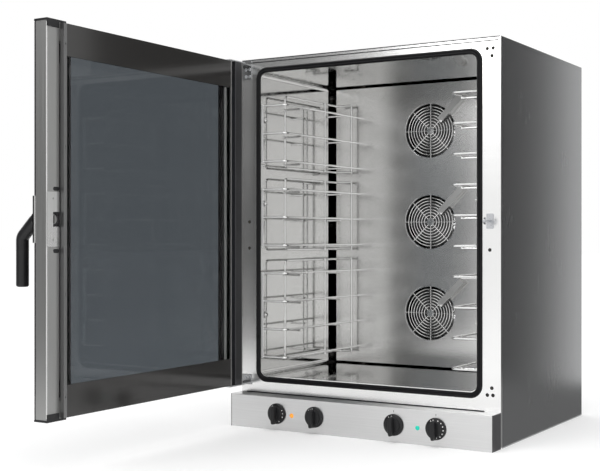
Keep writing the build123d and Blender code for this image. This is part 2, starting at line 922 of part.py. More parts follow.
# Cable gland in the rear panel
with BuildPart() as cable_gland:
    rod_y(terminal_x, rear_in - gland_lock - gland_tail, rear_y, gland_z, gland_thread)
    with BuildSketch(facing_front(rear_in)):
        with Locations((terminal_x, gland_z)):
            RegularPolygon(gland_hex, 6)
    extrude(amount=gland_lock)
    with BuildSketch(facing_front(rear_y)):
        with Locations((terminal_x, gland_z)):
            RegularPolygon(gland_hex, 6)
    extrude(amount=-gland_hex_height)
    rod_y(terminal_x, rear_y, rear_y + gland_hex_height + gland_dome_height, gland_z, gland_dome)
    fillet(cable_gland.faces().sort_by(Axis.Y)[-1].edges(), gland_round)
    rod_y(
        terminal_x,
        rear_in - gland_lock - gland_tail,
        rear_y + gland_hex_height + gland_dome_height,
        gland_z,
        gland_bore,
        mode=Mode.SUBTRACT,
    )
finish(cable_gland.part, "cable_gland")


# Terminal block and contactor on the tray
with BuildPart() as terminal_block:
    slab(
        terminal_x - terminal_width / 2,
        terminal_x + terminal_width / 2,
        terminal_y - terminal_depth / 2,
        terminal_y + terminal_depth / 2,
        tray_sheet,
        tray_sheet + terminal_height,
    )
    with Locations((terminal_x, terminal_y, tray_sheet + terminal_height)):
        with GridLocations(terminal_width / terminal_ways, terminal_depth / 2, terminal_ways, 2):
            CounterBoreHole(terminal_screw, terminal_well, terminal_well_depth, terminal_screw_depth)
finish(terminal_block.part, "terminal_block")

with BuildPart() as contactor:
    slab(
        contactor_x - contactor_width / 2,
        contactor_x + contactor_width / 2,
        terminal_y - contactor_depth / 2,
        terminal_y + contactor_depth / 2,
        tray_sheet,
        tray_sheet + contactor_step,
    )
    slab(
        contactor_x - contactor_width / 2,
        contactor_x + contactor_width / 2,
        terminal_y - contactor_top_depth / 2,
        terminal_y + contactor_top_depth / 2,
        tray_sheet,
        tray_sheet + contactor_height,
    )
    with Locations((contactor_x, terminal_y, tray_sheet + contactor_step)):
        with GridLocations(contactor_width / 4, contactor_depth - 2 * contactor_screw_inset, 4, 2):
            Hole(contactor_screw, contactor_screw_depth)
finish(contactor.part, "contactor")


# Tray ladders, welded from round wires that cross: a bent frame, two back legs, three uprights,
# and a runner with two cross wires at each level, with a flat bar at the front and its lug
cross = 2 * rack_wire
runner_end = baffle_y - rack_end_gap
bar_back = front_y + runner_start - rack_wire
bar_front = bar_back - rack_bar_sheet
front_wire_y = front_y + front_upright
rear_wire_y = baffle_y - rear_upright_gap
back_y = baffle_y - rack_rear_gap
for side, side_name in ((-1, "left"), (1, "right")):
    upright_x = side * (cavity_x - upright_gap)
    runner_x = side * (cavity_x - runner_gap)
    inner_upright_x = upright_x - side * cross
    rear_x = runner_x + side * cross
    bar_in = side * (lug_x + rack_lug_sheet)
    bar_out = side * (lug_x + rack_lug_sheet - rack_bar_width)
    cross_start = runner_x - side * rack_wire_end
    for group, group_name, nut_z in zip(levels, ("upper", "middle", "lower"), nut_heights):
        head = group[0] + rack_head
        foot = group[-1] - rack_foot
        frame_points = [
            (upright_x, back_y - rack_wire, head),
            (upright_x, front_wire_y, head),
            (upright_x, front_wire_y, foot),
            (upright_x, back_y - rack_wire, foot),
        ]
        wires = [
            bent_wire(frame_points, rack_bend, rack_wire),
            loose(rod_z, rear_x, back_y + cross, foot - rack_rear_end, head + rack_rear_end, rack_wire),
            loose(
                rod_z,
                inner_upright_x,
                rear_wire_y,
                foot - rack_wire_end,
                head + rack_wire_end,
                rack_wire,
            ),
        ]
        for leg_z in (head, foot):
            leg_start = rear_x - side * rack_wire_end
            wires.append(loose(rod_x, leg_start, upright_x + side * rack_wire, back_y, leg_z, rack_wire))
        for level in group:
            runner_points = [
                (bar_in - side * runner_inset, front_y + runner_start, level),
                (runner_x, front_y + runner_start, level),
                (runner_x, runner_end, level),
            ]
            front_end = upright_x + side * rack_wire_end
            rear_end = inner_upright_x + side * rack_wire_end
            wires.append(bent_wire(runner_points, rack_bend, rack_wire))
            wires.append(
                loose(rod_x, cross_start, front_end, front_wire_y - cross, level - cross, rack_wire)
            )
            wires.append(
                loose(rod_x, cross_start, rear_end, rear_wire_y + cross, level - cross, rack_wire)
            )
        bar_bottom = group[-1] - rack_wire
        bar_top = group[0] + rack_wire
        wires.append(loose(slab, bar_in, bar_out, bar_front, bar_back, bar_bottom, bar_top))
        with BuildPart() as lug:
            slab(
                side * lug_x,
                side * (lug_x - rack_lug_sheet),
                bar_back,
                bar_back + rack_lug_reach,
                nut_z - rack_lug_height / 2,
                nut_z + rack_lug_height / 2,
            )
            rod_x(
                side * lug_x,
                side * (lug_x - rack_lug_sheet),
                stud_y,
                nut_z,
                stud_radius + stud_fit,
                mode=Mode.SUBTRACT,
            )
        wires.append(lug.part)
        finish(welded(wires), f"rack_{side_name}_{group_name}")


# Knurled nuts that hold the ladders to the studs
with BuildPart() as rack_nuts:
    for side in (-1, 1):
        nut_face = Plane(
            origin=(side * (lug_x - rack_lug_sheet), 0, 0),
            x_dir=(0, 1, 0),
            z_dir=(-side, 0, 0),
        )
        with BuildSketch(nut_face):
            with Locations(*[nut_face.to_local_coords(Vector(0, stud_y, z)) for z in nut_heights]):
                RegularPolygon(nut_radius, nut_flutes)
                Circle(stud_radius + nut_fit, mode=Mode.SUBTRACT)
        extrude(amount=nut_length)
finish(rack_nuts.part, "rack_nuts")


# Control panel: a folded channel with holes for the shafts and the lamps
with BuildPart() as control_panel:
    with BuildSketch(Plane.YZ.offset(panel_end - side_x)):
        with Locations(((panel_y + front_y) / 2, panel_height / 2)):
            Rectangle(panel_reach, panel_height)
        with Locations(((panel_in + front_y) / 2 + shell, panel_height / 2)):
            Rectangle(front_y - panel_in + 2 * shell, panel_height - 2 * shell, mode=Mode.SUBTRACT)
    extrude(amount=2 * (side_x - panel_end))
    fillet(control_panel.edges().filter_by(Axis.X).group_by(Axis.Y)[0], shell)
    with BuildSketch(facing_front(panel_y)):
        with Locations(*[(x, knob_z) for x in knob_places.values()]):
            Circle(panel_hole)
        with Locations(*[(x, lamp_z) for x in lamp_places.values()]):
            Circle(lamp_body + lamp_fit)
    extrude(amount=-2 * shell, mode=Mode.SUBTRACT)
finish(control_panel.part, "control_panel")

with BuildPart() as panel_end_caps:
    for side in (-1, 1):
        slab(side * (side_x - panel_end), side * side_x, panel_y, front_y, 0, panel_height)
finish(panel_end_caps.part, "panel_end_caps")


# Knobs: a skirt, a crown and a bar grip on one shaft
knob_back = panel_y - knob_gap
crown_y = knob_back - knob_skirt
for knob_name, knob_x in knob_places.items():
    with BuildPart() as knob:
        with BuildSketch(Plane(origin=(knob_x, knob_back, knob_z), x_dir=(1, 0, 0), z_dir=(0, 0, 1))):
            with BuildLine():
                Polyline(
                    (0, 0),
                    (knob_radius, 0),
                    (knob_radius, -knob_skirt / 2),
                    (knob_radius - knob_bevel, -knob_skirt),
                    (knob_crown + knob_crown_foot, -knob_skirt),
                    (knob_crown, -knob_skirt - knob_crown_height),
                    (0, -knob_skirt - knob_crown_height),
                    close=True,
                )
            make_face()
        revolve(axis=Axis((knob_x, knob_back, knob_z), (0, 1, 0)))
        with BuildSketch(facing_front(crown_y - knob_crown_height)):
            with Locations((knob_x, knob_z)):
                SlotOverall(knob_grip_length, knob_grip_width, rotation=90)
        extrude(amount=knob_grip_height)
        fillet(knob.faces().sort_by(Axis.Y)[0].edges(), knob_round)
        rod_y(knob_x, knob_back - knob_skirt, knob_back + knob_shaft_length, knob_z, knob_shaft)
    finish(knob.part, f"knob_{knob_name}")


# Rotary switches and regulators behind the knobs
def control_body(places, size):
    """Square bodies with a threaded bushing for the shaft."""
    with BuildPart() as body:
        for place in places:
            rod_y(place, panel_in, panel_in + switch_bushing_length, knob_z, switch_bushing)
            slab(
                place - size / 2,
                place + size / 2,
                panel_in + switch_bushing_length,
                panel_in + switch_bushing_length + switch_depth,
                knob_z - size / 2,
                knob_z + size / 2,
            )
            rod_y(
                place,
                panel_in,
                knob_back + knob_shaft_length + switch_shaft_room,
                knob_z,
                knob_shaft + shaft_fit,
                mode=Mode.SUBTRACT,
            )
    return body.part


finish(control_body((knob_places["timer"], knob_places["mode"]), switch_size), "rotary_switches")
finish(control_body((knob_places["humidity"], knob_places["temperature"]), regulator_size), "regulators")


# Pilot lamps
for lamp_name, lamp_x in lamp_places.items():
    with BuildPart() as lamp:
        rod_y(lamp_x, panel_y - lamp_dome, panel_y, lamp_z, lamp_radius)
        fillet(lamp.faces().sort_by(Axis.Y)[0].edges(), lamp_round)
        rod_y(lamp_x, panel_y, panel_y + lamp_length, lamp_z, lamp_body)
    finish(lamp.part, f"lamp_{lamp_name}")


# Striker: a base plate on the frame, a neck and an arrow-shaped head
striker_tip = front_y - striker_reach
head_back = striker_tip + striker_head_length
with BuildPart() as striker:
    slab(
        latch_x - striker_base_width / 2,
        latch_x + striker_base_width / 2,
        front_y - striker_base_sheet,
        front_y,
        latch_z - striker_base_height / 2,
        latch_z + striker_base_height / 2,
    )
    fillet(striker.edges().filter_by(Axis.Y), striker_base_corner)
    slab(
        latch_x - striker_neck / 2,
        latch_x + striker_neck / 2,
        head_back,
        front_y - striker_base_sheet,
        latch_z - striker_neck / 2,
        latch_z + striker_neck / 2,
    )
    with BuildSketch(Plane.YZ.offset(latch_x - striker_neck / 2)):
        with BuildLine():
            Polyline(
                (head_back, latch_z - striker_head / 2),
                (head_back, latch_z + striker_head / 2),
                (striker_tip + striker_chamfer, latch_z + striker_head / 4),
                (striker_tip, latch_z + striker_head / 8),
                (striker_tip, latch_z - striker_head / 8),
                (striker_tip + striker_chamfer, latch_z - striker_head / 4),
                close=True,
            )
        make_face()
    extrude(amount=striker_neck)
finish(striker.part, "striker")


# Hinge brackets: a flange on the frame and an arm with the hinge pin
arm_upper = door_z1 + hinge_plate + hinge_play
arm_lower = door_z0 - hinge_plate - hinge_play
bracket_x0 = pivot_x - hinge_eye
bracket_x1 = bracket_x0 + bracket_width
for bracket_name, arm_z, turn, flange_z0, flange_z1 in (
    ("upper", arm_upper, 1, door_z1 - bracket_upper_drop, arm_upper + bracket_plate + bracket_upper_rise),
    ("lower", arm_lower, -1, arm_lower - bracket_lower_drop, door_z0 + bracket_lower_rise),
):
    with BuildPart() as bracket:
        slab(bracket_x0 + bracket_inset, bracket_x1, front_y - bracket_flange, front_y, flange_z0, flange_z1)
        with BuildSketch(Plane.XY.offset(arm_z if turn > 0 else arm_z - bracket_plate)):
            with Locations((pivot_x, pivot_y)):
                Circle(hinge_eye)
            with Locations(((bracket_x0 + bracket_x1) / 2, (pivot_y + front_y) / 2)):
                Rectangle(bracket_width, pivot_reach)
        extrude(amount=bracket_plate)
        inner_end = arm_z - turn * (hinge_plate + hinge_play + hinge_boss - pin_short)
        outer_end = arm_z + turn * (bracket_plate + pin_head_height)
        rod_z(pivot_x, pivot_y, inner_end, outer_end, pin_radius)
        rod_z(pivot_x, pivot_y, arm_z + turn * bracket_plate, outer_end, pin_head)
        with BuildSketch(facing_front(front_y - bracket_flange)):
            with Locations(*hinge_holes):
                Circle(screw_shank + screw_fit)
        extrude(amount=-bracket_flange, mode=Mode.SUBTRACT)
    finish(bracket.part, f"hinge_bracket_{bracket_name}")

with BuildPart() as hinge_screws:
    with BuildSketch(facing_front(front_y - bracket_flange)):
        with Locations(*hinge_holes):
            Circle(screw_head)
    extrude(amount=screw_head_height)
    with BuildSketch(facing_front(front_y - bracket_flange)):
        with Locations(*hinge_holes):
            Circle(screw_shank)
    extrude(amount=-screw_length)
finish(hinge_screws.part, "hinge_screws")


# Door. Its own frame has U along the leaf from the hinge pin, V through its thickness towards
# the chamber and Z up, and it is turned about the pin by the opening angle.
door_plane = Plane(
    origin=(pivot_x, pivot_y, 0),
    x_dir=(cos(radians(door_open)), -sin(radians(door_open)), 0),
    z_dir=(0, 0, 1),
)
door_across = (sin(radians(door_open)), cos(radians(door_open)), 0)


def door_face(v):
    """Plane parallel to the leaf at thickness v, facing away from the chamber."""
    return Plane(
        origin=door_plane.from_local_coords(Vector(0, v, 0)),
        x_dir=door_plane.x_dir,
        z_dir=Vector(*door_across) * -1,
    )


# Outer glass, with a hole for the handle spindle
spindle_hole = handle_spindle + spindle_clear
with BuildPart() as door_outer_glass:
    with BuildSketch(door_face(leaf_face)):
        with Locations(((leaf_start + leaf_end) / 2, (door_z0 + door_z1) / 2)):
            RectangleRounded(leaf_end - leaf_start, door_z1 - door_z0, outer_glass_corner)
        with Locations((latch_u, latch_z)):
            Circle(spindle_hole, mode=Mode.SUBTRACT)
    extrude(amount=-outer_glass)
finish(door_outer_glass.part, "door_outer_glass")


# Door frame: two tubular stiles and two channel rails, with the latch window in the free stile
free_u = leaf_end - free_stile
hinge_u = leaf_start + hinge_stile
window_u = latch_u + window_offset
with BuildPart(door_plane) as door_frame:
    slab(leaf_start, hinge_u, frame_v0, frame_v1, door_z0, door_z1)
    slab(free_u, leaf_end, frame_v0, frame_v1, door_z0, door_z1)
    slab(hinge_u, free_u, frame_v0, frame_v1, door_z1 - rail_height, door_z1)
    slab(hinge_u, free_u, frame_v0, frame_v1, door_z0, door_z0 + rail_height)
    for u0, u1 in ((leaf_start, hinge_u), (free_u, leaf_end)):
        slab(
            u0 + door_wall,
            u1 - door_wall,
            frame_v0 + door_wall,
            frame_v1 - door_wall,
            door_z0,
            door_z1,
            mode=Mode.SUBTRACT,
        )
    for z0, z1 in (
        (door_z0 + door_wall, door_z0 + rail_height),
        (door_z1 - rail_height, door_z1 - door_wall),
    ):
        slab(hinge_u, free_u, frame_v0 + door_wall, frame_v1 - door_wall, z0, z1, mode=Mode.SUBTRACT)
    slab(
        window_u - window_width / 2,
        window_u + window_width / 2,
        frame_v0 + 2 * door_wall,
        frame_v1,
        latch_z - window_height / 2,
        latch_z + window_height / 2,
        mode=Mode.SUBTRACT,
    )
    rod_y(latch_u, frame_v0, frame_v0 + door_wall, latch_z, spindle_hole, mode=Mode.SUBTRACT)
finish(door_frame.part, "door_frame")


# Sealing band on the hinge stile
with BuildPart(door_plane) as door_seal_band:
    slab(hinge_u - seal_band, hinge_u, frame_v1, pane_v1, door_z0, door_z1)
    fillet(door_seal_band.edges().filter_by(Axis.Z).sort_by(Axis.X)[-2:], seal_round)
finish(door_seal_band.part, "door_seal_band")


# End caps over the free stile
with BuildPart(door_plane) as door_end_caps:
    for cap_z, turn in ((door_z0, -1), (door_z1, 1)):
        cap_far = cap_z + turn * cap_height
        slab(
            leaf_end - cap_length,
            leaf_end + cap_overhang,
            leaf_face,
            frame_v1 + cap_lip_sheet,
            cap_z,
            cap_far,
        )
        slab(
            free_u + pane_side_gap / 2,
            leaf_end,
            frame_v1,
            frame_v1 + cap_lip_sheet,
            cap_z - turn * cap_lip,
            cap_z,
        )
finish(door_end_caps.part, "door_end_caps")


# Hinge plates on the ends of the leaf, with an eye for the door pin and a hole for the pane pin
plate_v1 = pane_v1 - seal_round
with BuildPart() as door_hinge_plates:
    for plate_z, turn in ((door_z0 - hinge_plate, -1), (door_z1, 1)):
        with BuildSketch(door_plane.offset(plate_z)) as plate_outline:
            Circle(hinge_eye)
            with Locations(((leaf_start + hinge_plate_end) / 2, (leaf_face + plate_v1) / 2)):
                Rectangle(hinge_plate_end - leaf_start, plate_v1 - leaf_face)
            make_hull()
            Circle(pin_radius + pin_fit, mode=Mode.SUBTRACT)
            with Locations((pane_pivot_u, pane_pivot_v)):
                Circle(pane_pin + pin_fit, mode=Mode.SUBTRACT)
        extrude(amount=hinge_plate)
        boss_z = plate_z if turn > 0 else plate_z + hinge_plate
        with BuildSketch(door_plane.offset(boss_z)):
            Circle(hinge_eye)
            Circle(pin_radius + pin_fit, mode=Mode.SUBTRACT)
        extrude(amount=-turn * (hinge_boss - hinge_plate))
finish(door_hinge_plates.part, "door_hinge_plates")


# Latch plate on the free stile
with BuildPart() as latch_plate:
    with BuildSketch(door_face(frame_v1)):
        with Locations(((free_u + leaf_end) / 2, latch_z)):
            Rectangle(free_stile, latch_plate_height)
        with Locations((window_u, latch_z)):
            Rectangle(window_width, window_height, mode=Mode.SUBTRACT)
        with Locations(((free_u + leaf_end) / 2, latch_z)):
            with GridLocations(0, latch_plate_screw_pitch, 1, 2):
                Circle(latch_plate_screw, mode=Mode.SUBTRACT)
    extrude(amount=-latch_plate_sheet)
finish(latch_plate.part, "latch_plate")


# Escutcheon of the handle
with BuildPart() as handle_escutcheon:
    with BuildSketch(door_face(leaf_face)):
        with Locations((latch_u, latch_z)):
            SlotOverall(escutcheon_height, escutcheon_width, rotation=90)
    extrude(amount=escutcheon_sheet)
    fillet(handle_escutcheon.faces().sort_by(Axis.X)[0].edges(), escutcheon_round)
    with BuildSketch(door_face(leaf_face - escutcheon_sheet)):
        with Locations((latch_u, latch_z)):
            Circle(handle_spindle + pin_fit)
    extrude(amount=-escutcheon_sheet, mode=Mode.SUBTRACT)
finish(handle_escutcheon.part, "handle_escutcheon")


# Inner pane: glass, edge strip and hinge profile, which swing together for cleaning
with BuildPart(door_plane) as pane_glass:
    slab(
        pane_pivot_u + pane_rod + body_gap,
        pane_end - strip_width,
        glass_v0,
        pane_v1,
        pane_z0,
        pane_z1,
    )
finish(pane_glass.part, "pane_glass")

pane_mid = (pane_z0 + pane_z1) / 2
with BuildPart(door_plane) as pane_edge_strip:
    slab(pane_end - strip_width, pane_end, pane_v0, pane_v1, pane_z0, pane_z1)
    slab(
        pane_end - strip_width - strip_shelf,
        pane_end - strip_width,
        glass_v0 - pane_web_sheet,
        glass_v0,
        pane_z0,
        pane_z1,
    )
    for z in (
        pane_z0 + strip_screw_end,
        pane_z0 + strip_screw_inner,
        pane_z1 - strip_screw_inner,
        pane_z1 - strip_screw_end,
    ):
        rod_y(
            pane_end - strip_width / 2,
            pane_v1 - strip_screw_depth,
            pane_v1,
            z,
            strip_screw,
            mode=Mode.SUBTRACT,
        )
finish(pane_edge_strip.part, "pane_edge_strip")

with BuildPart(door_plane) as pane_hinge_profile:
    rod_z(pane_pivot_u, pane_pivot_v, pane_z0, pane_z1, pane_rod)
    slab(
        pane_pivot_u,
        pane_pivot_u + pane_web,
        glass_v0 - pane_web_sheet,
        glass_v0,
        pane_z0,
        pane_z1,
    )
    rod_z(pane_pivot_u, pane_pivot_v, door_z0 - hinge_plate, door_z1 + hinge_plate, pane_pin)
finish(pane_hinge_profile.part, "pane_hinge_profile")


# Handle lever with its spindle, hanging down
cup_back = pivot_reach - striker_reach - cup_clear
lever_v = leaf_face - escutcheon_sheet - body_gap
grip_v = leaf_face - handle_standoff
neck_v = lever_v - handle_neck_length
lever_points = [
    door_plane.from_local_coords(Vector(latch_u, lever_v - 1, latch_z)),
    door_plane.from_local_coords(Vector(latch_u, neck_v, latch_z)),
    door_plane.from_local_coords(Vector(latch_u, grip_v, latch_z - handle_drop)),
    door_plane.from_local_coords(Vector(latch_u, grip_v, latch_z - handle_length)),
]
lever_wire = bent_wire(lever_points, handle_bend, handle_grip)
with BuildPart(door_plane) as handle_lever:
    add(Location(door_plane).inverse() * lever_wire)
    rod_y(latch_u, neck_v, lever_v, latch_z, handle_neck)
    fillet(handle_lever.faces().filter_by(GeomType.PLANE).sort_by(Axis.Z)[0].edges(), handle_end_round)
    rod_y(latch_u, neck_v, cup_back, latch_z, handle_spindle)
finish(handle_lever.part, "handle_lever")


# Latch cup on the end of the spindle: a slotted rim that passes the striker head upright
# and holds it when it is turned
cup_rim = pivot_reach - cup_front
with BuildPart(door_plane) as latch_cup:
    rod_y(latch_u, cup_back, cup_rim, latch_z, cup_radius)
    cup_inside = cup_radius - cup_wall
    rod_y(latch_u, cup_back + cup_floor, cup_rim - cup_lip, latch_z, cup_inside, mode=Mode.SUBTRACT)
    slab(
        latch_u - cup_slot_width / 2,
        latch_u + cup_slot_width / 2,
        cup_rim - 2 * cup_lip,
        cup_rim + cup_lip,
        latch_z - striker_head / 2 - cup_slot_clear / 2,
        latch_z + striker_head / 2 + cup_slot_clear / 2,
        mode=Mode.SUBTRACT,
    )
finish(latch_cup.part, "latch_cup")
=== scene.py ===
import math

import bmesh
import bpy
import numpy as np
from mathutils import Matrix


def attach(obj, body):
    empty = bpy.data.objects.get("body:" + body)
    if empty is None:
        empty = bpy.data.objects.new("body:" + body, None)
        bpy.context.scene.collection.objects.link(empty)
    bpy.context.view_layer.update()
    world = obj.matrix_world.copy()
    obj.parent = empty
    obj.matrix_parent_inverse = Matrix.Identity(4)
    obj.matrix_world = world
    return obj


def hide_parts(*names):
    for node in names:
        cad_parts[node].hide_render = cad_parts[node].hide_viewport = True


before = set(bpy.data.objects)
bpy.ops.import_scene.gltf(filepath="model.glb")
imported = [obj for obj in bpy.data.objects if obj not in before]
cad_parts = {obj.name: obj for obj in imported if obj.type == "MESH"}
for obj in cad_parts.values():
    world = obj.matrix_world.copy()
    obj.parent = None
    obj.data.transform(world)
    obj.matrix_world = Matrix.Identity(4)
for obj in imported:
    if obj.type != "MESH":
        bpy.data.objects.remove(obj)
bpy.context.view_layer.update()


# The studio: a pale floor that runs out of sight, a bright surround, two soft lamps and a narrow
# beam on each fan. The floor is matt board; to the camera and in reflections it glows a little, so
# that it reads as white paper and still holds the oven's shadow.
class Wire:
    """A socket of a material's nodes. Arithmetic on it adds Math nodes, and node() adds any other kind."""

    def __init__(self, tree, socket=None):
        self.tree = tree
        self.socket = socket

    def node(self, kind, settings=None, inputs=None, out=0):
        """Adds a node: its settings, or a ramp's stops, then the values or wires of its sockets."""
        made = self.tree.nodes.new(kind)
        for key, value in (settings or {}).items():
            if key == "stops":
                ramp = made.color_ramp.elements
                ramp.remove(ramp[1])
                ramp[0].position = value[0][0]
                ramp[0].color = (*value[0][1], 1.0)
                for place, tone in value[1:]:
                    ramp.new(place).color = (*tone, 1.0)
            else:
                setattr(made, key, value)
        for key, value in (inputs or {}).items():
            if isinstance(value, Wire):
                self.tree.links.new(value.socket, made.inputs[key])
            else:
                made.inputs[key].default_value = value
        return Wire(self.tree, made.outputs[out])

    def into(self, shader, key):
        """Links this wire to a socket of a shader."""
        self.tree.links.new(self.socket, shader.inputs[key])

    def maths(self, operation, first, second):
        return self.node("ShaderNodeMath", {"operation": operation}, {0: first, 1: second})

    def __add__(self, other):
        return self.maths("ADD", self, other)

    def __radd__(self, other):
        return self.maths("ADD", other, self)

    def __gt__(self, other):
        return self.maths("GREATER_THAN", self, other)

    def __lt__(self, other):
        return self.maths("LESS_THAN", self, other)

    def __or__(self, other):
        return self.maths("MAXIMUM", self, other)


def seen_directly(wire):
    """1 for a ray from the camera, off polished metal or through glass, else 0."""
    camera = wire.node("ShaderNodeLightPath", out="Is Camera Ray")
    glossy = wire.node("ShaderNodeLightPath", out="Is Glossy Ray")
    through = wire.node("ShaderNodeLightPath", out="Is Transmission Ray")
    return camera | glossy | through


white = (1.0, 1.0, 1.0, 1.0)
surround = bpy.data.worlds.new("surround")
surround.use_nodes = True
bpy.context.scene.world = surround
surround.node_tree.nodes.clear()
sky = Wire(surround.node_tree)
sky_white = sky.node("ShaderNodeBackground", inputs={"Color": white, "Strength": 1.0})
sky_white.into(surround.node_tree.nodes.new("ShaderNodeOutputWorld"), "Surface")

board = bpy.data.materials.new("floor_board")
board.use_nodes = True
board.node_tree.nodes.clear()
paper = Wire(board.node_tree)
paper_matt = paper.node("ShaderNodeBsdfDiffuse", inputs={"Color": (0.88, 0.88, 0.88, 1.0)})
paper_glow = paper.node("ShaderNodeEmission", inputs={"Color": white, "Strength": 0.17})
paper_lit = paper.node("ShaderNodeAddShader", inputs={0: paper_matt, 1: paper_glow})
paper_mix = paper.node("ShaderNodeMixShader", inputs={0: seen_directly(paper), 1: paper_matt, 2: paper_lit})
paper_mix.into(board.node_tree.nodes.new("ShaderNodeOutputMaterial"), "Surface")

floor_half = 30.0
floor_corners = [(-floor_half, -floor_half, 0), (floor_half, -floor_half, 0)]
floor_corners += [(floor_half, floor_half, 0), (-floor_half, floor_half, 0)]
floor_mesh = bpy.data.meshes.new("floor")
floor_mesh.from_pydata(floor_corners, [], [(0, 1, 2, 3)])
floor_mesh.materials.append(board)
floor = bpy.data.objects.new("floor", floor_mesh)
bpy.context.scene.collection.objects.link(floor)


def hang(name, light, place, aim):
    """Hangs a light at place, tilted from straight down and turned about the vertical to face aim."""
    lamp = bpy.data.objects.new(name, light)
    back = np.array(place) - np.array(aim)
    tilt = math.acos(back[2] / np.linalg.norm(back))
    lamp.location = place
    lamp.rotation_euler = (tilt, 0.0, math.atan2(back[0], -back[1]))
    bpy.context.scene.collection.objects.link(lamp)


def soft_lamp(name, place, aim, size, power):
    """A square diffuser of that width in metres and power in watts, shining from place to aim."""
    light = bpy.data.lights.new(name, "AREA")
    light.shape = "SQUARE"
    light.size = size
    light.energy = power
    hang(name, light, place, aim)


def fan_lamp(z):
    """A narrow beam through the mouth onto the right half of the fan at height z, from in front of
    the oven and to the left."""
    beam = bpy.data.lights.new("beam", "SPOT")
    beam.energy = 34.0
    beam.spot_size = math.radians(3.4)
    beam.spot_blend = 0.5
    beam.shadow_soft_size = 0.006
    hang("lamp_fan", beam, (-0.30, -0.95, z + 0.02), (0.053, 0.13, z - 0.006))


soft_lamp("lamp_front", (-1.5, -4.0, 2.1), (0.0, 0.0, 0.5), 1.3, 18.0)
soft_lamp("lamp_over", (0.0, -1.0, 3.2), (0.0, -0.3, 0.4), 2.0, 22.0)
for fan_z in (0.845, 0.573, 0.301):
    fan_lamp(fan_z)


def grey_card(name, corners, shade):
    """A card between four corners, seen only in reflections, as bright as shade."""
    mesh = bpy.data.meshes.new(name)
    mesh.from_pydata(corners, [], [(0, 1, 2, 3)])
    paint = bpy.data.materials.new(name)
    paint.use_nodes = True
    paint.node_tree.nodes.clear()
    glow = Wire(paint.node_tree).node("ShaderNodeEmission", inputs={"Color": white, "Strength": shade})
    glow.into(paint.node_tree.nodes.new("ShaderNodeOutputMaterial"), "Surface")
    mesh.materials.append(paint)
    card = bpy.data.objects.new(name, mesh)
    card.visible_camera = False
    card.visible_diffuse = False
    card.visible_shadow = False
    card.visible_transmission = False
    bpy.context.scene.collection.objects.link(card)


def standing(start, end, height):
    """Corners of an upright card between two places on the floor."""
    return [(*start, 0.0), (*end, 0.0), (*end, height), (*start, height)]


# The first card and the grey foot on the floor before it darken what the oven's right side
# mirrors, and the other two darken what the front frame and the door's free end mirror.
grey_card("card_right", standing((0.70, 1.0), (1.42, 0.93), 2.4), 0.0)
foot_corners = [(0.392, -0.34, 0.002), (1.3, -0.34, 0.002), (1.7, 1.0, 0.002), (0.392, 1.0, 0.002)]
grey_card("card_right_foot", foot_corners, 0.25)
grey_card("card_door", standing((-0.85, -2.45), (-1.15, -2.15), 1.8), 0.3)
grey_card("card_door_far", standing((-1.15, -2.15), (-2.1, -1.2), 1.8), 0.1)

# The camera stands where the photograph was taken from: level, at about half the oven's height, in
# front of it and to its right, with a long lens.
lens = bpy.data.cameras.new("camera")
lens.lens = 68.6
lens.sensor_width = 36.0
lens.shift_y = 0.0018
lens.clip_start = 0.1
lens.clip_end = 200.0
camera = bpy.data.objects.new("camera", lens)
camera.location = (1.4536, -3.0058, 0.5294)
camera.rotation_euler = (math.radians(90.0), 0.0, math.radians(31.57))
bpy.context.scene.collection.objects.link(camera)
bpy.context.scene.camera = camera
bpy.context.scene.view_settings.view_transform = "Standard"


# Outer shell: side panels and top in satin stainless sheet, folded at the edges and joined to the
# base tray. The sheet is brushed up and down, which shows as a faint upright grain.
def finish(name, colour, roughness, metal=0.0, **plain):
    """A new finish: its material, its main shader and a wire to start its nodes from."""
    made = bpy.data.materials.new(name)
    made.use_nodes = True
    shader = made.node_tree.nodes["Principled BSDF"]
    shader.inputs["Base Color"].default_value = (*colour, 1.0)
    shader.inputs["Roughness"].default_value = roughness
    shader.inputs["Metallic"].default_value = metal
    for key, value in plain.items():
        shader.inputs[key.replace("_", " ")].default_value = value
    return made, shader, Wire(made.node_tree)


def blend(wire, amount, low, high):
    """Colour between low and high by amount, from 0 to 1."""
    sides = [side if isinstance(side, Wire) else (*side, 1.0) for side in (low, high)]
    return wire.node("ShaderNodeMix", {"data_type": "RGBA"}, {0: amount, 6: sides[0], 7: sides[1]}, out=2)


def noise(wire, scale, detail=3.0, rough=0.55):
    """Noise on the piece's own place, with a scale per metre along X, Y and Z."""
    place = wire.node("ShaderNodeTexCoord", out="Object")
    stretched = wire.node("ShaderNodeMapping", inputs={"Vector": place, "Scale": scale})
    return wire.node(
        "ShaderNodeTexNoise",
        inputs={"Vector": stretched, "Scale": 1.0, "Detail": detail, "Roughness": rough},
    )


def spread(wire, low, high, to_low, to_high):
    """Wire moved from the range low to high onto the range to_low to to_high, held at its ends."""
    return wire.node("ShaderNodeMapRange", inputs={0: wire, 1: low, 2: high, 3: to_low, 4: to_high})


def relief(wire, height, shader, depth, strength=1.0):
    """Bumps of that depth in metres on a shader."""
    bump = wire.node("ShaderNodeBump", inputs={"Strength": strength, "Distance": depth, "Height": height})
    bump.into(shader, "Normal")


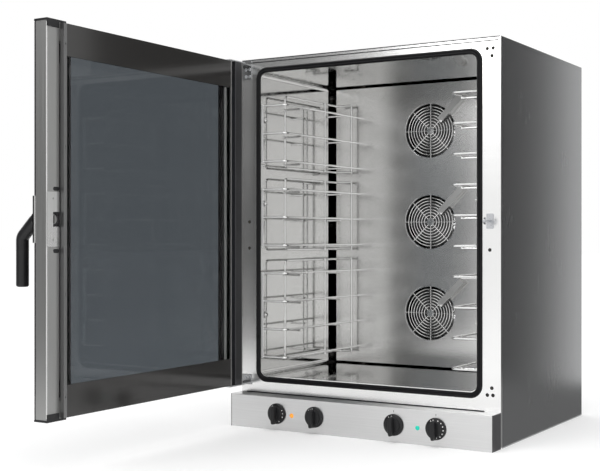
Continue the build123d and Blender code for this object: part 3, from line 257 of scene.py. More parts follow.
def steel(name, colour, roughness, grain, tone=0.06, depth=0.00004, smear=0.08):
    """Stainless sheet: grain is its noise scale per metre, small along the brushing, and smears of
    handling and cleaning a hand wide make it a little duller in places."""
    made, shader, wire = finish(name, colour, roughness, 1.0)
    lines = noise(wire, grain, 4.0, 0.7)
    cloud = noise(wire, (5.0, 5.0, 5.0), 3.0, 0.6)
    dark = tuple(c * (1.0 - tone) for c in colour)
    light = tuple(min(1.0, c * (1.0 + tone)) for c in colour)
    blend(wire, spread(lines, 0.3, 0.7, 0.0, 1.0), dark, light).into(shader, "Base Color")
    duller = spread(cloud, 0.35, 0.7, 0.0, smear)
    scratch = spread(lines, 0.3, 0.7, -smear / 3, smear / 3)
    (duller + scratch + roughness).into(shader, "Roughness")
    relief(wire, lines, shader, depth)
    return made


def dress(material, *names):
    """Gives CAD pieces that keep their shape a finish."""
    for name in names:
        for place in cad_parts[name].material_slots:
            place.material = material


steel_outer = steel(
    "steel_outer", (0.345, 0.35, 0.355), 0.27, (700.0, 700.0, 3.0), tone=0.012, depth=0.000001, smear=0.004
)
dress(steel_outer, "side_panel_left", "side_panel_right", "top_panel")


# Base tray, rear panel and other hidden sheet work: zinc-coated steel, pressed and screwed on,
# with louvres for the motors and holes for the pipes. The zinc has large pale flakes.
def zinc(name):
    """Zinc coating: flat crystals 8 mm wide, each of its own tone and gloss."""
    made, shader, wire = finish(name, (0.55, 0.56, 0.57), 0.42, 1.0)
    place = wire.node("ShaderNodeTexCoord", out="Object")
    flake = wire.node("ShaderNodeTexVoronoi", inputs={"Vector": place, "Scale": 120.0}, out="Color")
    tone = wire.node("ShaderNodeSeparateColor", inputs={0: flake})
    blend(wire, tone, (0.46, 0.47, 0.48), (0.64, 0.65, 0.66)).into(shader, "Base Color")
    spread(tone, 0.0, 1.0, 0.36, 0.5).into(shader, "Roughness")
    relief(wire, tone, shader, 0.00002)
    return made


zinc_steel = zinc("zinc_steel")
dress(zinc_steel, "base_tray", "rear_panel", "baffle_standoffs")
dress(zinc_steel, "vent_pipe", "regulators", "door_hinge_plates")


# Front frame: thick stainless sheet, polished along its length and folded back into the shell,
# with threaded holes for a door on either side.
steel_front = steel(
    "steel_front", (0.83, 0.83, 0.825), 0.2, (9.0, 380.0, 380.0), tone=0.02, depth=0.00001, smear=0.04
)
dress(steel_front, "front_frame")


# Hinge brackets: satin stainless plate of the shell's finish, laser cut and folded. Each is welded
# to the pin that the door turns on and screwed to the front frame.
dress(steel_outer, "hinge_bracket_upper", "hinge_bracket_lower")


# Chamber liner: sides bent at the corners, roof, floor and back in mirror-polished sheet, welded along the
# seams. It is not quite flat, so what it mirrors bends a little. Behind the fan baffle its colour is painted
# near black, as painted shade in the gap behind the baffle.
unpolished_from = 0.102


def mirror_steel(name, colour, roughness, ripple):
    """Polished sheet with slow waves of that depth in metres and faint wiping marks, painted dark, as shade,
    where its Y is beyond unpolished_from."""
    made, shader, wire = finish(name, colour, roughness, 1.0)
    wave = noise(wire, (3.5, 3.5, 3.5), 1.0, 0.4)
    wiping = noise(wire, (26.0, 26.0, 70.0), 3.0, 0.6)
    spread(wiping, 0.35, 0.75, roughness, roughness + 0.07).into(shader, "Roughness")
    polished = blend(wire, wiping, tuple(c * 0.93 for c in colour), colour)
    place = wire.node("ShaderNodeTexCoord", out="Object")
    behind = wire.node("ShaderNodeSeparateXYZ", inputs={0: place}, out="Y") > unpolished_from
    blend(wire, behind, polished, (0.07, 0.068, 0.065)).into(shader, "Base Color")
    relief(wire, wave, shader, ripple, 0.5)
    return made


steel_mirror = mirror_steel("steel_mirror", (0.70, 0.70, 0.69), 0.05, 0.0012)
dress(steel_mirror, "cavity_liner", "cavity_back")


# Insulation jacket: mineral wool, pressed into slabs and tucked round the liner.
# It is yellow-brown, fluffy and never seen once the shell is on.
wool, wool_shader, wool_wire = finish("wool", (0.46, 0.38, 0.22), 0.95)
wool_tuft = noise(wool_wire, (160.0, 160.0, 60.0), 5.0, 0.7)
blend(wool_wire, wool_tuft, (0.34, 0.27, 0.14), (0.60, 0.52, 0.33)).into(wool_shader, "Base Color")
relief(wool_wire, wool_tuft, wool_shader, 0.003)
dress(wool, "insulation_jacket")


# Door gasket: a black silicone profile with two soft lips, pressed into a groove round the mouth.
# It is extruded straight, bent round the corners and joined at the bottom.
mm = 0.001
gasket_side = 326.0 * mm
gasket_low = 136.0 * mm
gasket_high = 990.0 * mm
gasket_turn = 19.0 * mm
gasket_wide = 15.0 * mm
gasket_proud = 6.6 * mm
front_y = -320.0 * mm


def skin(points, round_u=False, round_v=False):
    """Shell over a grid of points. round_u joins its last row to its first, round_v its columns."""
    rows, columns = points.shape[:2]
    row, column = np.meshgrid(
        np.arange(rows if round_u else rows - 1),
        np.arange(columns if round_v else columns - 1),
        indexing="ij",
    )
    after, beside = (row + 1) % rows, (column + 1) % columns
    near, far = row * columns, after * columns
    corners = (near + column, far + column, far + beside, near + beside)
    return points.reshape(-1, 3), np.stack(corners, -1).reshape(-1, 4)


def piece(name, shells, material, body, slot, *replaced, crease=35.0):
    """One object from closed shells: poles merged, faces turned outwards, smooth except at creases."""
    starts = np.cumsum([0] + [len(points) for points, _ in shells])
    points = np.concatenate([points for points, _ in shells])
    faces = np.concatenate([quads + start for (_, quads), start in zip(shells, starts)])
    mesh = bpy.data.meshes.new(name)
    mesh.from_pydata(points.tolist(), [], faces.tolist())
    work = bmesh.new()
    work.from_mesh(mesh)
    bmesh.ops.remove_doubles(work, verts=work.verts, dist=1e-6)
    bmesh.ops.dissolve_degenerate(work, edges=work.edges, dist=1e-7)
    bmesh.ops.recalc_face_normals(work, faces=work.faces)
    work.to_mesh(mesh)
    work.free()
    mesh.shade_smooth()
    mesh.set_sharp_from_angle(angle=math.radians(crease))
    mesh.materials.append(material)
    made = bpy.data.objects.new(name, mesh)
    bpy.context.scene.collection.objects.link(made)
    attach(made, body)
    if replaced:
        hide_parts(*replaced)
    return made


def rounded_loop(half_x, low, high, turn, steps=14):
    """Rounded rectangle in X and Z: quarter circles of radius turn about four centres, with the
    outward direction at each point."""
    angle = np.linspace(0, math.pi / 2, steps)
    angles = np.concatenate([angle + quarter * math.pi / 2 for quarter in range(4)])
    way = np.stack([np.cos(angles), np.sin(angles)], -1)
    centre_x = np.repeat(np.array([1, -1, -1, 1]) * (half_x - turn), steps)
    centre_z = np.repeat([high - turn, high - turn, low + turn, low + turn], steps)
    return np.stack([centre_x, centre_z], -1) + way * turn, way


loop, loop_way = rounded_loop(gasket_side, gasket_low, gasket_high, gasket_turn)
across = np.linspace(0, 1, 33)
# Across its width the gasket rises as a flattened half sine, and a cosine with two turns in that
# width leaves a lip on either side of a shallow groove.
lips = gasket_proud * np.sin(math.pi * across) ** 0.3 * (0.80 - 0.20 * np.cos(4 * math.pi * across))
lip_reach = np.concatenate([across * gasket_wide, across[-2:0:-8] * gasket_wide])
lip_rise = np.concatenate([lips, np.zeros(len(across[-2:0:-8]))])
gasket_points = np.zeros((len(loop), len(lip_reach), 3))
gasket_points[:, :, 0] = loop[:, :1] + loop_way[:, :1] * lip_reach
gasket_points[:, :, 2] = loop[:, 1:] + loop_way[:, 1:] * lip_reach
gasket_points[:, :, 1] = front_y - lip_rise
silicone, silicone_shader, silicone_wire = finish(
    "silicone", (0.010, 0.010, 0.011), 0.3, Specular_IOR_Level=0.12
)
silicone_bloom = noise(silicone_wire, (30.0, 30.0, 30.0), 4.0, 0.6)
silicone_tone = blend(silicone_wire, silicone_bloom, (0.006, 0.006, 0.007), (0.015, 0.015, 0.016))
silicone_tone.into(silicone_shader, "Base Color")
spread(silicone_bloom, 0.3, 0.7, 0.26, 0.4).into(silicone_shader, "Roughness")
gasket_shell = skin(gasket_points, True, True)
piece("gasket", [gasket_shell], silicone, "oven", "silicone", "cavity_gasket", crease=60.0)


# Fan baffle: brushed stainless sheet with three fan holes, folded back at its sides and hooked on
# six pillars.
steel_inner = steel(
    "steel_inner", (0.70, 0.698, 0.69), 0.2, (5.0, 70.0, 70.0), tone=0.01, depth=0.000001, smear=0.02
)
dress(steel_inner, "fan_baffle")


# Humidity spouts: three folded channels of stainless sheet with a dull pickled surface. Each is
# spot-welded at its foot and leads water down to the inlet of a fan.
spout_steel = steel(
    "spout_steel", (0.45, 0.45, 0.445), 0.42, (90.0, 90.0, 90.0), tone=0.03, depth=0.000004, smear=0.05
)
dress(spout_steel, "humidity_spouts")


# Fan guards: seven rings of bright stainless wire on eight spokes, welded at every crossing, with a hub
# plate and a flat rim that is spot-welded behind the baffle. The tray ladders are of the same wire, and the
# bars at their front ends, nearer than satin_front, are left satin. Nearer than satin_front the wire's
# finish is light grey and not metal. This also gives the lamp collars their finish, and it makes the painted
# highlights on the panel bend and the stile corner.
fan_heights = (845.0 * mm, 573.0 * mm, 301.0 * mm)
guard_y = 101.2 * mm
guard_wire = 1.5 * mm
guard_hole = 83.0 * mm
guard_hub = 12.0 * mm
guard_first_ring = 20.0 * mm
guard_ring_step = 60.0 / 7 * mm
satin_front = -0.3105


def lathe(profile, centre, steps):
    """Surface turned about an axis along Y through centre: profile is rows of radius and y."""
    turn = np.linspace(0, 2 * math.pi, steps, endpoint=False)
    rows = np.zeros((len(profile), steps, 3))
    rows[:, :, 0] = centre[0] + profile[:, :1] * np.cos(turn)
    rows[:, :, 1] = profile[:, 1:]
    rows[:, :, 2] = centre[1] + profile[:, :1] * np.sin(turn)
    return rows


def wire_ring(radius, y, centre, thick, around=72, section=8):
    """Ring of round wire: a circle of radius thick carried round a circle of radius."""
    angle = np.linspace(0, 2 * math.pi, section, endpoint=False)
    profile = np.stack([radius + thick * np.cos(angle), y + thick * np.sin(angle)], -1)
    return skin(lathe(profile, centre, around), True, True)


def rod(start, end, thick, section=12, bevel=0.0):
    """Round bar between two points, closed at both ends, with a small bevel."""
    start, end = np.array(start, float), np.array(end, float)
    along = (end - start) / np.linalg.norm(end - start)
    aside = np.cross(along, (0.0, 0.0, 1.0) if abs(along[2]) < 0.9 else (1.0, 0.0, 0.0))
    aside /= np.linalg.norm(aside)
    over = np.cross(along, aside)
    angle = np.linspace(0, 2 * math.pi, section, endpoint=False)
    circle = np.cos(angle)[:, None] * aside + np.sin(angle)[:, None] * over
    stations = [(start, 0.0), (start, thick - bevel), (start + along * bevel, thick)]
    stations += [(end - along * bevel, thick), (end, thick - bevel), (end, 0.0)]
    return skin(np.stack([place + circle * wide for place, wide in stations]), False, True)


guard_shells = []
for fan_z in fan_heights:
    for ring in range(7):
        ring_radius = guard_first_ring + ring * guard_ring_step
        guard_shells.append(wire_ring(ring_radius, guard_y + guard_wire, (0, fan_z), guard_wire))
    rim = np.array([(80.0, 101.2), (80.0, 104.2), (90.0, 104.2), (90.0, 101.2)]) * mm
    guard_shells.append(skin(lathe(rim, (0, fan_z), 96), True, True))
    hub = np.array([(0, 101.4), (11, 101.4), (12, 102.2), (12, 105.8), (11, 106.6), (0, 106.6)]) * mm
    guard_shells.append(skin(lathe(hub, (0, fan_z), 40), False, True))
    for spoke in range(8):
        way = np.array([math.cos(spoke * math.pi / 4), 0, math.sin(spoke * math.pi / 4)])
        start = np.array([0, guard_y + 4.0 * mm, fan_z]) + way * (guard_hub - 1.0 * mm)
        end = start + way * (guard_hole - guard_hub + 2.0 * mm)
        guard_shells.append(rod(start, end, guard_wire, 8, 0.3 * mm))
bright_wire, bright_shader, bright_wire_nodes = finish("bright_wire", (0.80, 0.80, 0.795), 0.16, 1.0)
bright_mark = noise(bright_wire_nodes, (90.0, 90.0, 90.0), 3.0, 0.6)
spread(bright_mark, 0.3, 0.75, 0.09, 0.24).into(bright_shader, "Roughness")
bright_tone = blend(bright_wire_nodes, bright_mark, (0.74, 0.74, 0.735), (0.86, 0.86, 0.855))
bright_tone.into(bright_shader, "Base Color")
bright_place = bright_wire_nodes.node("ShaderNodeTexCoord", out="Object")
bright_depth = bright_wire_nodes.node("ShaderNodeSeparateXYZ", inputs={0: bright_place}, out="Y")
(bright_depth > satin_front).into(bright_shader, "Metallic")
piece("guards", guard_shells, bright_wire, "oven", "wire", "fan_guards")


# Fan wheels: stamped blades riveted between a back plate and a front ring of stainless sheet, on
# a hub with a lock nut. Each turns on its own motor shaft.
# Their colour is painted dark, as painted shade of the chamber behind the baffle.
wheel_steel = steel(
    "wheel_steel", (0.17, 0.17, 0.168), 0.36, (60.0, 60.0, 60.0), tone=0.04, depth=0.00001, smear=0.1
)
dress(wheel_steel, "fan_wheel_top", "fan_wheel_middle", "fan_wheel_bottom")


# Heating elements: two tubular rings round each wheel, sheathed in a dark heat-coloured alloy.
# Use has turned them brown and blue-grey in bands.
sheath, sheath_shader, sheath_wire = finish("element_sheath", (0.10, 0.085, 0.075), 0.5, 0.85)
heat_mark = noise(sheath_wire, (18.0, 18.0, 18.0), 3.0, 0.5)
sheath_tone = blend(sheath_wire, heat_mark, (0.055, 0.055, 0.065), (0.16, 0.11, 0.075))
sheath_tone.into(sheath_shader, "Base Color")
spread(heat_mark, 0.3, 0.7, 0.4, 0.62).into(sheath_shader, "Roughness")
dress(sheath, "heating_elements")


# Motors: pressed steel cans in dark enamel, behind the chamber. Each has a mounting flange that
# stands on four spacers, and a thin coat of dust.
enamel, enamel_shader, enamel_wire = finish("motor_enamel", (0.035, 0.036, 0.04), 0.38, 0.0, Coat_Weight=0.3)
enamel_peel = noise(enamel_wire, (420.0, 420.0, 420.0), 2.0, 0.5)
relief(enamel_wire, enamel_peel, enamel_shader, 0.00012)
enamel_dust = spread(noise(enamel_wire, (14.0, 14.0, 14.0), 4.0, 0.6), 0.4, 0.8, 0.0, 1.0)
enamel_tone = blend(enamel_wire, enamel_dust, (0.03, 0.031, 0.034), (0.075, 0.075, 0.078))
enamel_tone.into(enamel_shader, "Base Color")
dress(enamel, "fan_motors")


# Water pipe and valve: drawn copper pipe with a soldered branch to each spout, and the valve body
# at its inlet. Heat and water have stained them brown in patches.
copper, copper_shader, copper_wire = finish("copper", (0.72, 0.36, 0.22), 0.3, 1.0)
copper_stain = noise(copper_wire, (22.0, 22.0, 22.0), 4.0, 0.6)
copper_patch = spread(copper_stain, 0.35, 0.75, 0.0, 1.0)
copper_tone = blend(copper_wire, copper_patch, (0.74, 0.38, 0.24), (0.36, 0.17, 0.11))
copper_tone.into(copper_shader, "Base Color")
spread(copper_stain, 0.3, 0.7, 0.22, 0.45).into(copper_shader, "Roughness")
dress(copper, "water_pipe", "water_valve")


# Electrical parts: terminal block, contactor and switches in grey moulded plastic and a black cable
# gland, all with the fine pebbled surface of a spark-eroded mould.
def moulded(name, colour, roughness, texture=0.00005, lift=1.35):
    """Moulded plastic: a fine pebbled surface and slight tone changes where it is handled."""
    made, shader, wire = finish(name, colour, roughness, Specular_IOR_Level=0.28)
    pebble = noise(wire, (1500.0, 1500.0, 1500.0), 2.0, 0.5)
    handled = noise(wire, (35.0, 35.0, 35.0), 3.0, 0.6)
    lighter = tuple(c * lift for c in colour)
    blend(wire, spread(handled, 0.35, 0.7, 0.0, 1.0), colour, lighter).into(shader, "Base Color")
    spread(handled, 0.3, 0.7, roughness - 0.05, roughness + 0.08).into(shader, "Roughness")
    relief(wire, pebble, shader, texture)
    return made


grey_plastic = moulded("grey_plastic", (0.30, 0.31, 0.32), 0.5)
black_plastic = moulded("black_plastic", (0.014, 0.014, 0.015), 0.36)
dress(grey_plastic, "terminal_block", "contactor", "rotary_switches")
dress(black_plastic, "cable_gland")


# Tray ladders: six frames of bright round wire, welded where the wires cross, with a flat satin
# bar at the front. Each hangs on studs of the liner.
dress(
    bright_wire,
    "rack_left_upper",
    "rack_left_middle",
    "rack_left_lower",
    "rack_right_upper",
    "rack_right_middle",
    "rack_right_lower",
)


# Ladder nuts: knurled stainless nuts, one for each ladder, turned from bar and screwed by hand
# onto the liner's studs.
nut_heights = (858.7 * mm, 622.9 * mm, 308.5 * mm)
nut_y = -301.5 * mm
nut_radius = 8.0 * mm
nut_bore = 3.2 * mm
nut_outer_x = 328.0 * mm
nut_inner_x = 319.2 * mm


def knurled_nut(side, z):
    """Nut turned along X: its radius is a ring less a cosine with 24 turns, between two bevels."""
    turn = np.linspace(0, 2 * math.pi, 96, endpoint=False)
    wave = 1.0 - 0.04 * (1 - np.cos(24 * turn))
    plain = np.ones_like(turn)
    stations = [
        (nut_outer_x, nut_bore, plain),
        (nut_outer_x, nut_radius - 0.8 * mm, plain),
        (nut_outer_x - 0.7 * mm, nut_radius, wave),
        (nut_inner_x + 0.9 * mm, nut_radius, wave),
        (nut_inner_x, nut_radius - 1.2 * mm, plain),
        (nut_inner_x, nut_bore, plain),
    ]
    rows = np.zeros((len(stations), len(turn), 3))
    for row, (x, radius, shape) in zip(rows, stations):
        row[:, 0] = side * x
        row[:, 1] = nut_y + radius * shape * np.cos(turn)
        row[:, 2] = z + radius * shape * np.sin(turn)
    return skin(rows, True, True)


nut_shells = [knurled_nut(side, z) for side in (-1, 1) for z in nut_heights]
piece("ladder_nuts", nut_shells, bright_wire, "oven", "wire", "rack_nuts")


# Control panel: a folded channel in brushed stainless sheet, brushed along its length, with end
# caps in dark grey plastic. It closes the foot of the front, below the front frame.
panel_steel = steel(
    "panel_steel", (0.70, 0.70, 0.70), 0.3, (4.0, 900.0, 900.0), tone=0.05, depth=0.00003, smear=0.03
)
dark_plastic = moulded("dark_plastic", (0.05, 0.05, 0.052), 0.45)
dress(panel_steel, "control_panel")
dress(dark_plastic, "panel_end_caps")
panel_y = -374.0 * mm
panel_top = 90.0 * mm


# Panel joint: a thin strip in the gasket's black silicone along the seam between the panel and the front
# frame. It is painted shade, the dark line in the joint.
def block(low, high):
    """Closed box between two corners: two equal rectangles joined, each filled from its middle."""
    x, y, z = (np.array([a, b]) for a, b in zip(low, high))
    loop = np.array([(x[0], z[0]), (x[1], z[0]), (x[1], z[1]), (x[0], z[1])])
    middle = loop.mean(0)
    rows = np.zeros((4, 4, 3))
    for row, (depth, outline) in zip(rows, ((y[0], middle), (y[0], loop), (y[1], loop), (y[1], middle))):
        row[:, 0] = outline[..., 0]
        row[:, 1] = depth
        row[:, 2] = outline[..., 1]
    return skin(rows, False, True)


bead_low = (-372.0 * mm, front_y - 2.2 * mm, panel_top + 0.1 * mm)
bead_high = (346.0 * mm, front_y, panel_top + 2.4 * mm)
piece("joint_shade_strip", [block(bead_low, bead_high)], silicone, "oven", "silicone")


# Panel bend: a thin rod of light grey along the sheet's rounded edge at the right, where the face turns
# back. It is a painted highlight, the bright line that the bend catches from the light.
bend_radius = 0.7 * mm
bend_x = 387.9 * mm
bend_y = panel_y + 0.5 * mm
bend_foot = (bend_x, bend_y, 0.8 * mm)
bend_head = (bend_x, bend_y, panel_top - 0.8 * mm)
panel_bend = rod(bend_foot, bend_head, bend_radius, 12, 0.2 * mm)
piece("panel_corner_highlight", [panel_bend], bright_wire, "oven", "panel_steel")


# Index lines: a short stroke above each knob, screen-printed on the steel. The strokes are one print. It is
# painted white at the left pair, where it is lit, and dark grey at the right pair, as painted shade.
knob_places = {"timer": -238.0 * mm, "mode": -119.0 * mm, "humidity": 119.0 * mm, "temperature": 238.0 * mm}


def ink(name, tone, worn, fresh):
    """Matt printing ink, speckled between its worn and its fresh tone."""
    made, shader, wire = finish(name, tone, 0.5)
    wear = noise(wire, (900.0, 900.0, 900.0), 3.0, 0.6)
    blend(wire, wear, worn, fresh).into(shader, "Base Color")
    return made


def index_line(x):
    """Printed line 1.6 by 5 mm above a knob, standing 0.03 mm proud."""
    low = (x - 0.8 * mm, panel_y - 0.03 * mm, 77.5 * mm)
    high = (x + 0.8 * mm, panel_y + 0.02 * mm, 82.5 * mm)
    return block(low, high)


white_ink = ink("white_ink", (0.80, 0.80, 0.79), (0.66, 0.66, 0.65), (0.88, 0.88, 0.87))
dark_ink = ink("dark_ink", (0.08, 0.08, 0.085), (0.05, 0.05, 0.055), (0.12, 0.12, 0.125))
left_lines = [index_line(knob_places[name]) for name in ("timer", "mode")]
right_lines = [index_line(knob_places[name]) for name in ("humidity", "temperature")]
piece("index_lines_left", left_lines, white_ink, "oven", "panel_steel")
piece("index_lines_right", right_lines, dark_ink, "oven", "panel_steel")


# Knobs: black moulded plastic with a wide skirt, a crown and a bar to grip, each pushed on the
# flat of its shaft. White dots and strokes are printed round the skirt.
knob_z = 45.0 * mm
knob_back = panel_y - 0.5 * mm


def knob_skirt(x):
    """Skirt and crown turned from a profile with small rounds, radius and depth in millimetres."""
    skirt = [(0, 0), (27.2, 0), (28, -0.8), (28, -2.6), (27.5, -3.6), (25.6, -5.6), (24.6, -6.0)]
    crown = [(21.6, -6.2), (20.9, -6.6), (20.5, -8.4), (20.2, -10.2), (19.3, -10.9), (0, -11.0)]
    profile = np.array(skirt + crown) * mm
    profile[:, 1] += knob_back
    return skin(lathe(profile, (x, knob_z), 72), False, True)


def knob_grip(x):
    """Bar to grip: its outline is a superellipse, 12 by 50 mm, a little longer below the shaft than
    above it, that draws in at the top edge."""
    turn = np.linspace(0, 2 * math.pi, 64, endpoint=False)
    c, s = np.cos(turn), np.sin(turn)
    rows = []
    levels = ((-10.5, 0.0), (-22.6, 0.5), (-24.2, 0.9), (-24.85, 1.8), (-25.0, 3.0), (-25.0, 6.0))
    for depth, inset in levels:
        half_x, half_z = (6.0 - inset) * mm, (25.0 - inset) * mm
        row = np.zeros((64, 3))
        row[:, 0] = x + half_x * np.sign(c) * np.abs(c) ** 0.55
        row[:, 1] = knob_back + depth * mm
        row[:, 2] = knob_z - 2.2 * mm + half_z * np.sign(s) * np.abs(s) ** 0.75
        rows.append(row)
    rows.insert(0, rows[0] * (0, 1, 0) + np.array([x, 0, knob_z]))
    return skin(np.stack(rows), False, True)


def mark_shell(x, degrees, long=2.2, wide=1.2):
    """Printed stroke on the skirt, long and wide in millimetres, at an angle clockwise from the top:
    a closed thin plate that stands a little proud."""
    angle = math.radians(90 - degrees)
    way = np.array([math.cos(angle), 0, math.sin(angle)])
    side = np.array([-math.sin(angle), 0, math.cos(angle)]) * wide / 2 * mm
    inner = np.array([x, knob_back - 6.5 * mm, knob_z]) + way * (24.4 - long) * mm
    outer = np.array([x, knob_back - 6.2 * mm, knob_z]) + way * 24.4 * mm
    loop = np.array([inner - side, outer - side, outer + side, inner + side])
    sunk = loop + np.array([0, 0.5 * mm, 0])
    rows = np.stack([np.tile(loop.mean(0), (4, 1)), loop, sunk, np.tile(sunk.mean(0), (4, 1))])
    return skin(rows, False, True)


# Each mark: degrees clockwise from the top, then its length and width in millimetres.
knob_marks = {
    "timer": [(-38, 3.2, 1.6), (-24, 3.2, 2.2), (62, 3.0, 2.2), (84, 3.2, 1.6)],
    "mode": [(-36, 3.2, 2.4), (-22, 3.2, 1.6), (-6, 3.2, 1.8)],
    "humidity": [(-30, 3.2, 1.8), (-8, 3.2, 2.0)],
    "temperature": [(-30, 3.2, 2.0), (-12, 3.2, 2.4), (168, 3.2, 2.2)],
}
knob_marks["timer"] += [(108, 3.0, 2.6), (150, 3.0, 2.4)]
knob_marks["temperature"] += [(degrees, 3.0, 3.0) for degrees in (22, 46, 70, 94, 118, 142)]
for knob_name, knob_x in knob_places.items():
    body = "knob_" + knob_name
    stem_front = (knob_x, knob_back - 6.0 * mm, knob_z)
    stem_back = (knob_x, knob_back + 34.0 * mm, knob_z)
    stem = rod(stem_front, stem_back, 3.0 * mm, 16, 0.3 * mm)
    cap = [knob_skirt(knob_x), knob_grip(knob_x), stem]
    marks = [mark_shell(knob_x, *mark) for mark in knob_marks[knob_name]]
    piece(body + "_cap", cap, black_plastic, body, "black_plastic", body)
    piece(body + "_marks", marks, white_ink, body, "black_plastic")


# Pilot lamps: a domed lens in clear coloured plastic over a small neon, snapped into the panel
# behind a thin bright collar.
def lens_finish(name, colour, glow):
    """Coloured lens that glows a little, ribbed inside, so that its tone varies finely."""
    made, shader, wire = finish(name, colour, 0.18, 0.0, Coat_Weight=0.6, Emission_Strength=glow)
    ribs = noise(wire, (700.0, 700.0, 700.0), 2.0, 0.5)
    blend(wire, ribs, tuple(c * 0.75 for c in colour), colour).into(shader, "Base Color")
    blend(wire, ribs, tuple(c * 0.7 for c in colour), colour).into(shader, "Emission Color")
    return made


amber = lens_finish("amber", (0.95, 0.36, 0.03), 0.55)
green = lens_finish("green", (0.0, 0.56, 0.42), 0.45)
lamp_z = 43.0 * mm
lens_dome = [(0, -3.0), (2.6, -2.9), (4.6, -2.5), (5.7, -1.8), (6.1, -0.9), (6.1, 0.2)]
lens_barrel = [(4.9, 0.2), (4.9, 24.0), (0, 24.0)]
lens_profile = np.array(lens_dome + lens_barrel) * mm + np.array([0, panel_y])
collar_profile = np.array([(6.12, -0.02), (6.12, -0.5), (6.3, -0.6), (6.48, -0.5), (6.5, -0.02)]) * mm
collar_profile += np.array([0, panel_y])
pilot_lamps = (
    ("lamp_orange", -190.0 * mm, amber, "amber"),
    ("lamp_green", 187.0 * mm, green, "green"),
)
for lamp_name, lamp_x, lens_material, lens_slot in pilot_lamps:
    lens_shell = skin(lathe(lens_profile, (lamp_x, lamp_z), 40), False, True)
    collar_shell = skin(lathe(collar_profile, (lamp_x, lamp_z), 40), True, True)
    piece(lamp_name + "_lens", [lens_shell], lens_material, "oven", lens_slot, lamp_name, crease=60.0)
    piece(lamp_name + "_collar", [collar_shell], bright_wire, "oven", "wire")


# Hinge screws: zinc-plated steel pan heads with a cross recess, six of them, driven through the
# brackets into the front frame.
screw_places = [(-374.0, 1002.5), (-362.0, 1002.5), (-374.0, 982.5)]
screw_places += [(-362.0, 982.5), (-374.0, 131.5), (-362.0, 131.5)]
screw_seat = -323.0
screw_end = -315.0


def pan_head(x, z):
    """Screw head seen from the front: a dome 1.6 mm high that falls with the fourth power of the
    radius, less a cross 1.1 mm wide and 0.9 mm deep, on a shank 5 mm across."""
    turn = np.linspace(0, 2 * math.pi, 48, endpoint=False)
    radius = np.concatenate([np.linspace(0, 3.0, 13), np.linspace(3.2, 4.5, 6)])
    reach_x = radius[:, None] * np.cos(turn + 0.5)
    reach_z = radius[:, None] * np.sin(turn + 0.5)
    dome = 1.6 * (1 - (radius / 4.6) ** 4)[:, None] * np.ones(48)
    one_arm = np.abs(reach_x * math.cos(0.4) + reach_z * math.sin(0.4))
    other_arm = np.abs(reach_z * math.cos(0.4) - reach_x * math.sin(0.4))
    sides = np.clip((0.75 - np.minimum(one_arm, other_arm)) / 0.3, 0, 1)
    recess = 0.9 * sides * np.clip((2.4 - radius) / 0.4, 0, 1)[:, None]
    rows = np.stack([x + reach_x, screw_seat - dome + recess, z + reach_z], -1)
    under = [rows[-1] * (1, 0, 1) + np.array([0, screw_seat, 0])]
    for wide, deep in ((2.5, screw_seat), (2.5, screw_end), (0.0, screw_end)):
        ring = [x + wide * np.cos(turn + 0.5), np.full(48, deep), z + wide * np.sin(turn + 0.5)]
        under.append(np.stack(ring, -1))
    return skin(np.concatenate([rows, np.stack(under)]) * mm, False, True)


plated, plated_shader, plated_wire = finish("zinc_plate", (0.50, 0.51, 0.53), 0.26, 1.0)
plate_mark = noise(plated_wire, (300.0, 300.0, 300.0), 3.0, 0.6)
spread(plate_mark, 0.3, 0.7, 0.22, 0.42).into(plated_shader, "Roughness")
blend(plated_wire, plate_mark, (0.42, 0.43, 0.45), (0.60, 0.61, 0.63)).into(plated_shader, "Base Color")
screw_shells = [pan_head(*place) for place in screw_places]
piece("bracket_screws", screw_shells, plated, "oven", "zinc_steel", "hinge_screws")


# Striker: a base plate with a neck and an arrow-shaped head, cast in steel and zinc-plated like the
# screws. It is screwed to the front frame, and the latch cup turns round its head.
dress(plated, "striker")


# Threaded inserts: dark steel bushes pressed into the front frame, for a door hung on the other
# side and for a catch. Only the low flange of each shows, round its hole.
insert_places = [(354.0, 1000.5), (369.5, 1000.5), (366.5, 981.5), (354.0, 132.5), (369.0, 132.5)]
insert_places += [(366.0, 150.5), (-364.6, 571.0), (-364.6, 497.0), (360.7, 496.0)]


def insert_flange(x, z):
    """Flange 9.2 mm across: a low rounded profile turned round the hole in the frame."""
    ring = np.array([(2.2, 0), (2.3, -0.4), (3.0, -0.6), (4.2, -0.5), (4.6, 0)]) * mm
    return skin(lathe(ring + np.array([0, front_y]), (x * mm, z * mm), 32), True, True)


insert_metal = steel("insert_metal", (0.05, 0.05, 0.052), 0.4, (300.0, 300.0, 300.0))
insert_shells = [insert_flange(*place) for place in insert_places]
piece("frame_inserts", insert_shells, insert_metal, "oven", "zinc_steel", crease=60.0)


# Roof lap: two dark lines across the front, one where the roof sheet's rolled hem ends and one at the seam
# below it, where the hem meets the face of the frame. The upper one, along the hem, is a painted reflection:
# the dark that the roll of the hem mirrors. Each stands 0.15 mm proud.
line_front = front_y - 0.15 * mm
line_back = front_y + 0.1 * mm
seam_line = block((-386.0 * mm, line_front, 1018.9 * mm), (384.0 * mm, line_back, 1021.7 * mm))
hem_line = block((-388.5 * mm, line_front, 1027.4 * mm), (388.5 * mm, line_back, 1029.95 * mm))
piece("roof_seam_and_hem_reflection", [seam_line, hem_line], insert_metal, "oven", "steel_front")


